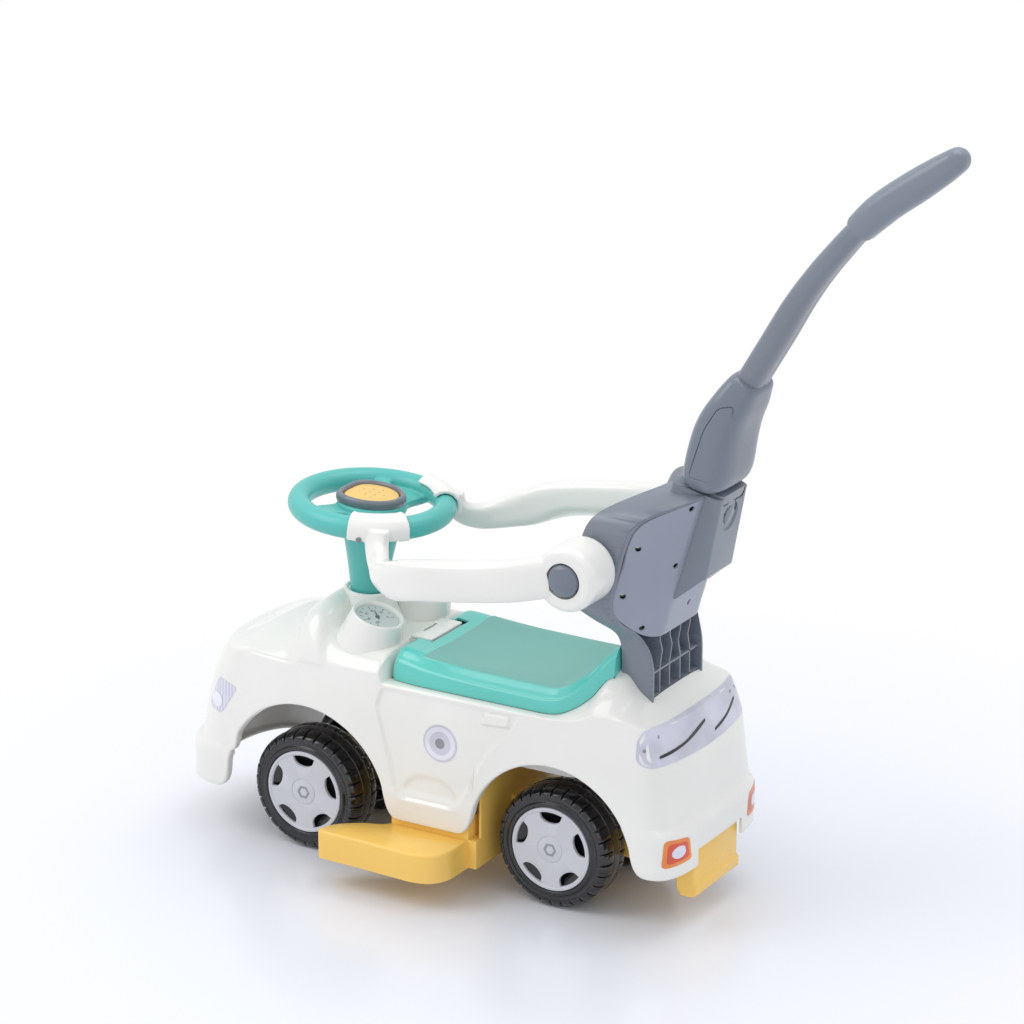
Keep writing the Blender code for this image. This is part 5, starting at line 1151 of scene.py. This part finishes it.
# Guard arms
# White blown arms from a thick round boss on each side of the backrest to a cuff that
# clips over the steering wheel's rim. A grey stud stands in each cuff.
ARM_X, ARM_HEIGHT = 210, 409
CUFF_FROM, CUFF_TO, CUFF_WALL = 33, 74, 5
cuff_turn, stud_turn = math.radians(53.5), math.radians(66)
for name, side in SIDES:
    start = (98.4 * math.cos(cuff_turn), 98.4 * math.sin(cuff_turn) * side, -2)
    top, = put(rim_place, [start])
    x, y, z = (top.x - MIDDLE) / MM, top.y / MM * side, top.z / MM
    foot = z - 29
    climb = ARM_HEIGHT - foot
    line = [(x - 1, y, z + 7), (x - 0.5, y + 3, z - 6), (x + 4, y + 9, z - 17),
            (x + 13, y + 20, z - 24.5), (-36, 118, foot + 1.5), (-4, 144, foot + 2 + 0.14 * climb),
            (38, 158, foot + 2 + 0.36 * climb), (95, 158, foot + 2 + 0.55 * climb),
            (150, 152, foot + 1 + 0.75 * climb), (202, 133, ARM_HEIGHT)]
    points = np.array(curve(line, 49))
    steps = walked(points)
    rows = []
    for i, point in enumerate(points):
        share = steps[i] / steps[-1]
        along = Vector(points[min(i + 1, len(points) - 1)] - points[max(i - 1, 0)]).normalized()
        outward = (Vector((0, 1, 0)) - along * along.y).normalized()
        upward = along.cross(outward)
        height = 49 * flowing(share, [0, 0.07, 0.19, 0.42, 1], [0.58, 0.56, 0.62, 0.97, 1])
        width = 28 * flowing(share, [0, 0.2, 0.5, 1], [0.5, 0.72, 1, 1])
        slant = 0.3 * flowing(share, [0, 0.3, 0.5, 1], [0, 0, 1, 1])
        row = []
        for angle in np.linspace(0, 2 * math.pi, 41)[:-1]:
            c, s = math.cos(angle), math.sin(angle)
            a, b = width / 2 * signed_power(c, 0.62), height / 2 * signed_power(s, 0.62)
            b += 2 * slant * height * max(0.5 - (b / height + 0.5), 0) * (0.5 - a / width)
            place = Vector(point) + outward * a + upward * b
            row.append(spot(place.x, place.y * side, place.z))
        rows.append(row)
    parts = [skin("stem", rows)]
    pivot = aimed(spot(ARM_X, 0, ARM_HEIGHT), (0, side, 0))
    boss = rounded([(0, 94), (29, 94), (36, 100), (36, 144), (31.5, 150), (0, 150)], 3)
    parts.append(turned("boss", boss, pivot))
    rings = []
    wrap = np.radians(np.linspace(40, 180, 15))
    for angle in np.linspace(CUFF_FROM, CUFF_TO, 25):
        grow = math.exp(-(min(angle - CUFF_FROM, CUFF_TO - angle) / 2.2) ** 2)
        outer = RIM_THICKNESS + CUFF_WALL + grow
        section = [(RIM_RADIUS - outer * math.cos(t), outer * math.sin(t)) for t in wrap]
        section += [(100 + grow, -6), (99, -9), (96.5, -9), (96, -6)]
        section += [(RIM_RADIUS - 14 * math.cos(t), 14 * math.sin(t)) for t in wrap[::-1]]
        c, s = math.cos(math.radians(angle)), math.sin(math.radians(angle)) * side
        rings.append(put(rim_place, [(r * c, r * s, z) for r, z in section]))
    parts.append(skin("cuff", rings))
    arm = blown(merged("guard_arm_%s_skin" % name, parts), 6)
    rim_room = turned("rim_room", circle(RIM_RADIUS, 0, RIM_THICKNESS + 0.3, 32), rim_place,
                      bored=True)
    stud_way = Vector((math.cos(stud_turn), math.sin(stud_turn) * side, 0))
    stud = turned("cuff_stud_" + name, [(0, 92), (3.2, 92), (3.2, 100.6), (2.4, 101.8), (0, 102)],
                  aimed(put(rim_place, [(0, 0, -6.5)])[0], rim_place.to_3x3() @ stud_way), 24)
    dressed(stud, slate)
    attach(stud, name + "_guard_arm")
    cut(arm, rim_room, turned("recess", [(0, 142), (19.5, 142), (20, 151.5), (0, 151.5)], pivot),
        bore(9.6, 80, 160, pivot, 48))
    dressed(arm, white, sharp=50)
    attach(arm, name + "_guard_arm")
    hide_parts("guard_arm_" + name)


# Pivot pins
# Grey domed buttons in the bosses, on which the guard arms swing up.
for name, side in SIDES:
    button = [(0, 84), (9, 84), (9, 143.2), (16.5, 143.2), (18, 144.6), (18, 149), (17, 151.4),
              (14.5, 153.4), (10, 154.8), (5, 155.4), (0, 155.5)]
    pin = turned("arm_pivot_pin_%s_skin" % name, button,
                 aimed(spot(ARM_X, 0, ARM_HEIGHT), (0, side, 0)), 72)
    dressed(pin, slate)
    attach(pin, "car")
    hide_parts("arm_pivot_pin_" + name)


# Stickers
# Thin glossy films laid on the white body: silvery lamps in front, a silvery rear window
# with two drawn wipers, orange and red tail lamps, and a plain round badge on each door.
def film(name, colour, roughness=0.25, stripes=0.0):
    """Printed film: a soft sheen, with optional fine stripes along the car's height."""
    material, shader, pen, place = finish(name)
    cloud = place.noise(22.0, 2.0)
    tint = cloud.step(0.3, 0.7).blend(faded(colour, 0.9), faded(colour, 1.12))
    if stripes:
        wave = pen.node("ShaderNodeTexWave", {"bands_direction": "X"},
                        {"Vector": place, "Scale": stripes, "Distortion": 0.0})
        tint = (wave.step(0.35, 0.9) * 0.5).blend(tint, faded(colour, 1.5))
    tint.into(shader.inputs["Base Color"])
    (cloud * 0.08 + roughness).into(shader.inputs["Roughness"])
    shader.inputs["Coat Weight"].default_value = 0.3
    return material


def laid(name, outline, axis, side, lift, material, rings=9):
    """Film laid on the body: outline as (x, z) on a side, or as (way round, z) behind."""
    points = np.array(outline, float)
    ends = np.vstack([points, points[:1]])
    marks = walked(ends)
    there = np.linspace(0, marks[-1], max(int(marks[-1] / 2.5), 40) + 1)[:-1]
    points = np.stack([np.interp(there, marks, ends[:, k]) for k in (0, 1)], 1)
    centre = points.mean(0)
    rows = []
    for share in np.linspace(0.02, 1, rings):
        row = []
        for a, b in centre + (points - centre) * share:
            origin, way = spot(a, 200 * side, b), Vector((0, -side, 0))
            if axis == "X":
                bend = min(max(abs(a) - 80, 0) / 28, 1.5) * (1 if a > 0 else -1)
                way = Vector((-math.cos(bend), -math.sin(bend), 0))
                origin = spot(275, min(max(a, -80), 80), b) - way * 0.2
            hit, normal, _, _ = body_tree.ray_cast(origin, way)
            if normal.dot(way) > 0:
                normal = -normal
            row.append(hit + normal * (lift + 0.15) * MM)
        rows.append(row)
    item = skin(name, rows, capped=False)
    if item.data.polygons[0].normal.dot(way) > 0:
        item.data.flip_normals()
    dressed(thickened(item, 0.2), material)
    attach(item, "car")
    return item


silver = film("silver_film", (0.60, 0.59, 0.68))
fluted = film("fluted_film", (0.60, 0.59, 0.68), stripes=70.0)
pearl = film("pearl_film", (0.78, 0.77, 0.84), 0.18)
black_print = film("black_print", (0.012, 0.012, 0.015), 0.4)
grey_print = film("grey_print", (0.27, 0.27, 0.31), 0.35)
lamp_red = film("lamp_red", (0.72, 0.085, 0.045))
lamp_orange = film("lamp_orange", (0.85, 0.26, 0.05))
lamp = rounded([(-268, 193), (-241, 185), (-264, 149), (-285, 156)], 6, 6, closed=True)
bulb = circle(-270, 165, 8.5, 40, 9)
badge_rings = ((21.5, 0.3, silver), (19.2, 0.45, pearl), (13.5, 0.6, silver),
               (6.0, 0.75, grey_print))
tail = rounded([(97, 118), (70, 113.6), (65, 87), (99, 85.5)], 5, 6, closed=True)
tail_inner = [(84 + (a - 84) * 0.76, 101 + (b - 101) * 0.72) for a, b in tail]
tail_eye = circle(84, 101, 7, 32)
for name, side in SIDES:
    laid("headlamp_" + name, lamp, "Y", side, 0.3, fluted, 16)
    laid("headlamp_eye_" + name, bulb, "Y", side, 0.9, pearl, 7)
    for number, (radius, lift, paint) in enumerate(badge_rings):
        badge = laid("door_badge_%s_%d" % (name, number), circle(32, 175, radius, 64), "Y", side,
                     lift, paint, 5)
    for piece, outline, lift, paint, rings in (("tail_lamp_", tail, 0.3, lamp_orange, 8),
                                               ("tail_lamp_red_", tail_inner, 0.45, lamp_red, 6),
                                               ("tail_lamp_eye_", tail_eye, 0.6, pearl, 4)):
        film_line = [(a * side, b) for a, b in outline]
        laid(piece + name, film_line, "X", 1, lift, paint, rings)
half_glass = [(117, 237), (104, 238), (84, 237.5), (60, 236.5), (30, 236), (0, 236)]
half_foot = [(124, 222), (121, 203), (108, 198), (88, 198), (60, 197), (30, 195), (0, 194)]
glass = rounded(mirrored(half_glass) + mirrored(half_foot)[::-1], 7, 5, closed=True)
laid("rear_window", glass, "X", 1, 0.3, silver, 14)
for name, line in (("left", [(-95, 208), (-70, 209), (-45, 211), (-22, 214.5), (2, 220)]),
                   ("right", [(17, 204.5), (38, 208), (58, 214), (76, 221)])):
    middle = curve(line, 25)
    blade = [(a, b - 1.5) for a, b in middle] + [(a, b + 1.5) for a, b in middle[::-1]]
    laid("wiper_" + name, blade, "X", 1, 0.6, black_print, 6)
for number, (a, b) in enumerate(((-91, 228.5), (-113, 217), (71, 228.5), (91, 228.5), (113, 217))):
    dot = laid("window_dot_%d" % number, circle(a, b, 1.9, 16), "X", 1, 0.6, grey_print, 3)


# Stage, lights and camera
# A pale floor that fades to white, a broad soft light from the left and above, and a
# long lens that looks down on the car from behind its left side.
paper, shader, pen, place = finish("studio_floor")
apart = pen.node("ShaderNodeVectorMath", {"operation": "LENGTH"}, {0: place}, output=1)
shader.inputs["Base Color"].default_value = (0.84, 0.85, 0.90, 1)
shader.inputs["Roughness"].default_value = 0.22
ray = pen.tree.nodes.new("ShaderNodeLightPath")
camera_ray, glossy_ray = (Wire(pen.tree, ray.outputs[kind])
                          for kind in ("Is Camera Ray", "Is Glossy Ray"))
glow = pen.node("ShaderNodeEmission", {}, {"Color": (1, 1, 1, 1), "Strength": 1.0})
mixed = pen.node("ShaderNodeMixShader", {}, {
    0: apart.step(0.25, 1.05) * camera_ray.maths("MAXIMUM", glossy_ray),
    1: Wire(pen.tree, shader.outputs[0]), 2: glow})
mixed.into(pen.tree.nodes["Material Output"].inputs["Surface"])
FLOOR_REACH = 9
floor = skin("floor", [[Vector((x, y, 0)) for y in (-FLOOR_REACH, FLOOR_REACH)]
                       for x in (-FLOOR_REACH, FLOOR_REACH)], loop=False, capped=False)
floor.data.materials.append(paper)

world = bpy.context.scene.world or bpy.data.worlds.new("studio")
bpy.context.scene.world = world
world.use_nodes = True
sky = Wire(world.node_tree)
shade = sky.tree.nodes["Background"]
shade.inputs["Color"].default_value = (0.93, 0.96, 1.0, 1)
shade.inputs["Strength"].default_value = 0.86
ray = sky.tree.nodes.new("ShaderNodeLightPath")
plain = sky.node("ShaderNodeBackground", {}, {"Color": (1, 1, 1, 1), "Strength": 1.0})
both = sky.node("ShaderNodeMixShader", {}, {0: Wire(sky.tree, ray.outputs["Is Camera Ray"]),
                                            1: Wire(sky.tree, shade.outputs[0]), 2: plain})
both.into(sky.tree.nodes["World Output"].inputs["Surface"])

for name, spot_at, size, power, colour in (
        ("key", (-1.6, -1.3, 2.3), 1.7, 23, (1.0, 0.99, 0.97)),
        ("top", (0.4, 0.6, 2.6), 1.6, 15, (1.0, 1.0, 1.0)),
        ("fill", (2.4, -2.2, 1.3), 1.6, 5, (0.97, 0.98, 1.0))):
    lamp = bpy.data.lights.new(name, "AREA")
    lamp.shape, lamp.size, lamp.energy, lamp.color = "SQUARE", size, power, colour
    lamp_object = linked(name, lamp)
    lamp_object.location = spot_at
    aim = Vector((0, 0, 0.3)) - Vector(spot_at)
    lamp_object.rotation_euler = aim.to_track_quat("-Z", "Y").to_euler()

turn, tilt, distance = math.radians(30.47), math.radians(18.61), 4469.4
forward = Vector((-math.sin(turn) * math.cos(tilt), math.cos(turn) * math.cos(tilt),
                  -math.sin(tilt)))
right = Vector((math.cos(turn), math.sin(turn), 0))
upward = right.cross(forward)
lens = bpy.data.cameras.new("lens")
lens.lens, lens.sensor_width = 137.9, 36.0
camera = linked("camera", lens)
aim_point = right * 51.75 + upward * 385.4
camera.matrix_world = Matrix.Translation(spot(*(aim_point - forward * distance))) @ Matrix(
    (right, upward, -forward)).transposed().to_4x4()
bpy.context.scene.camera = camera
bpy.context.scene.view_settings.view_transform = "Standard"
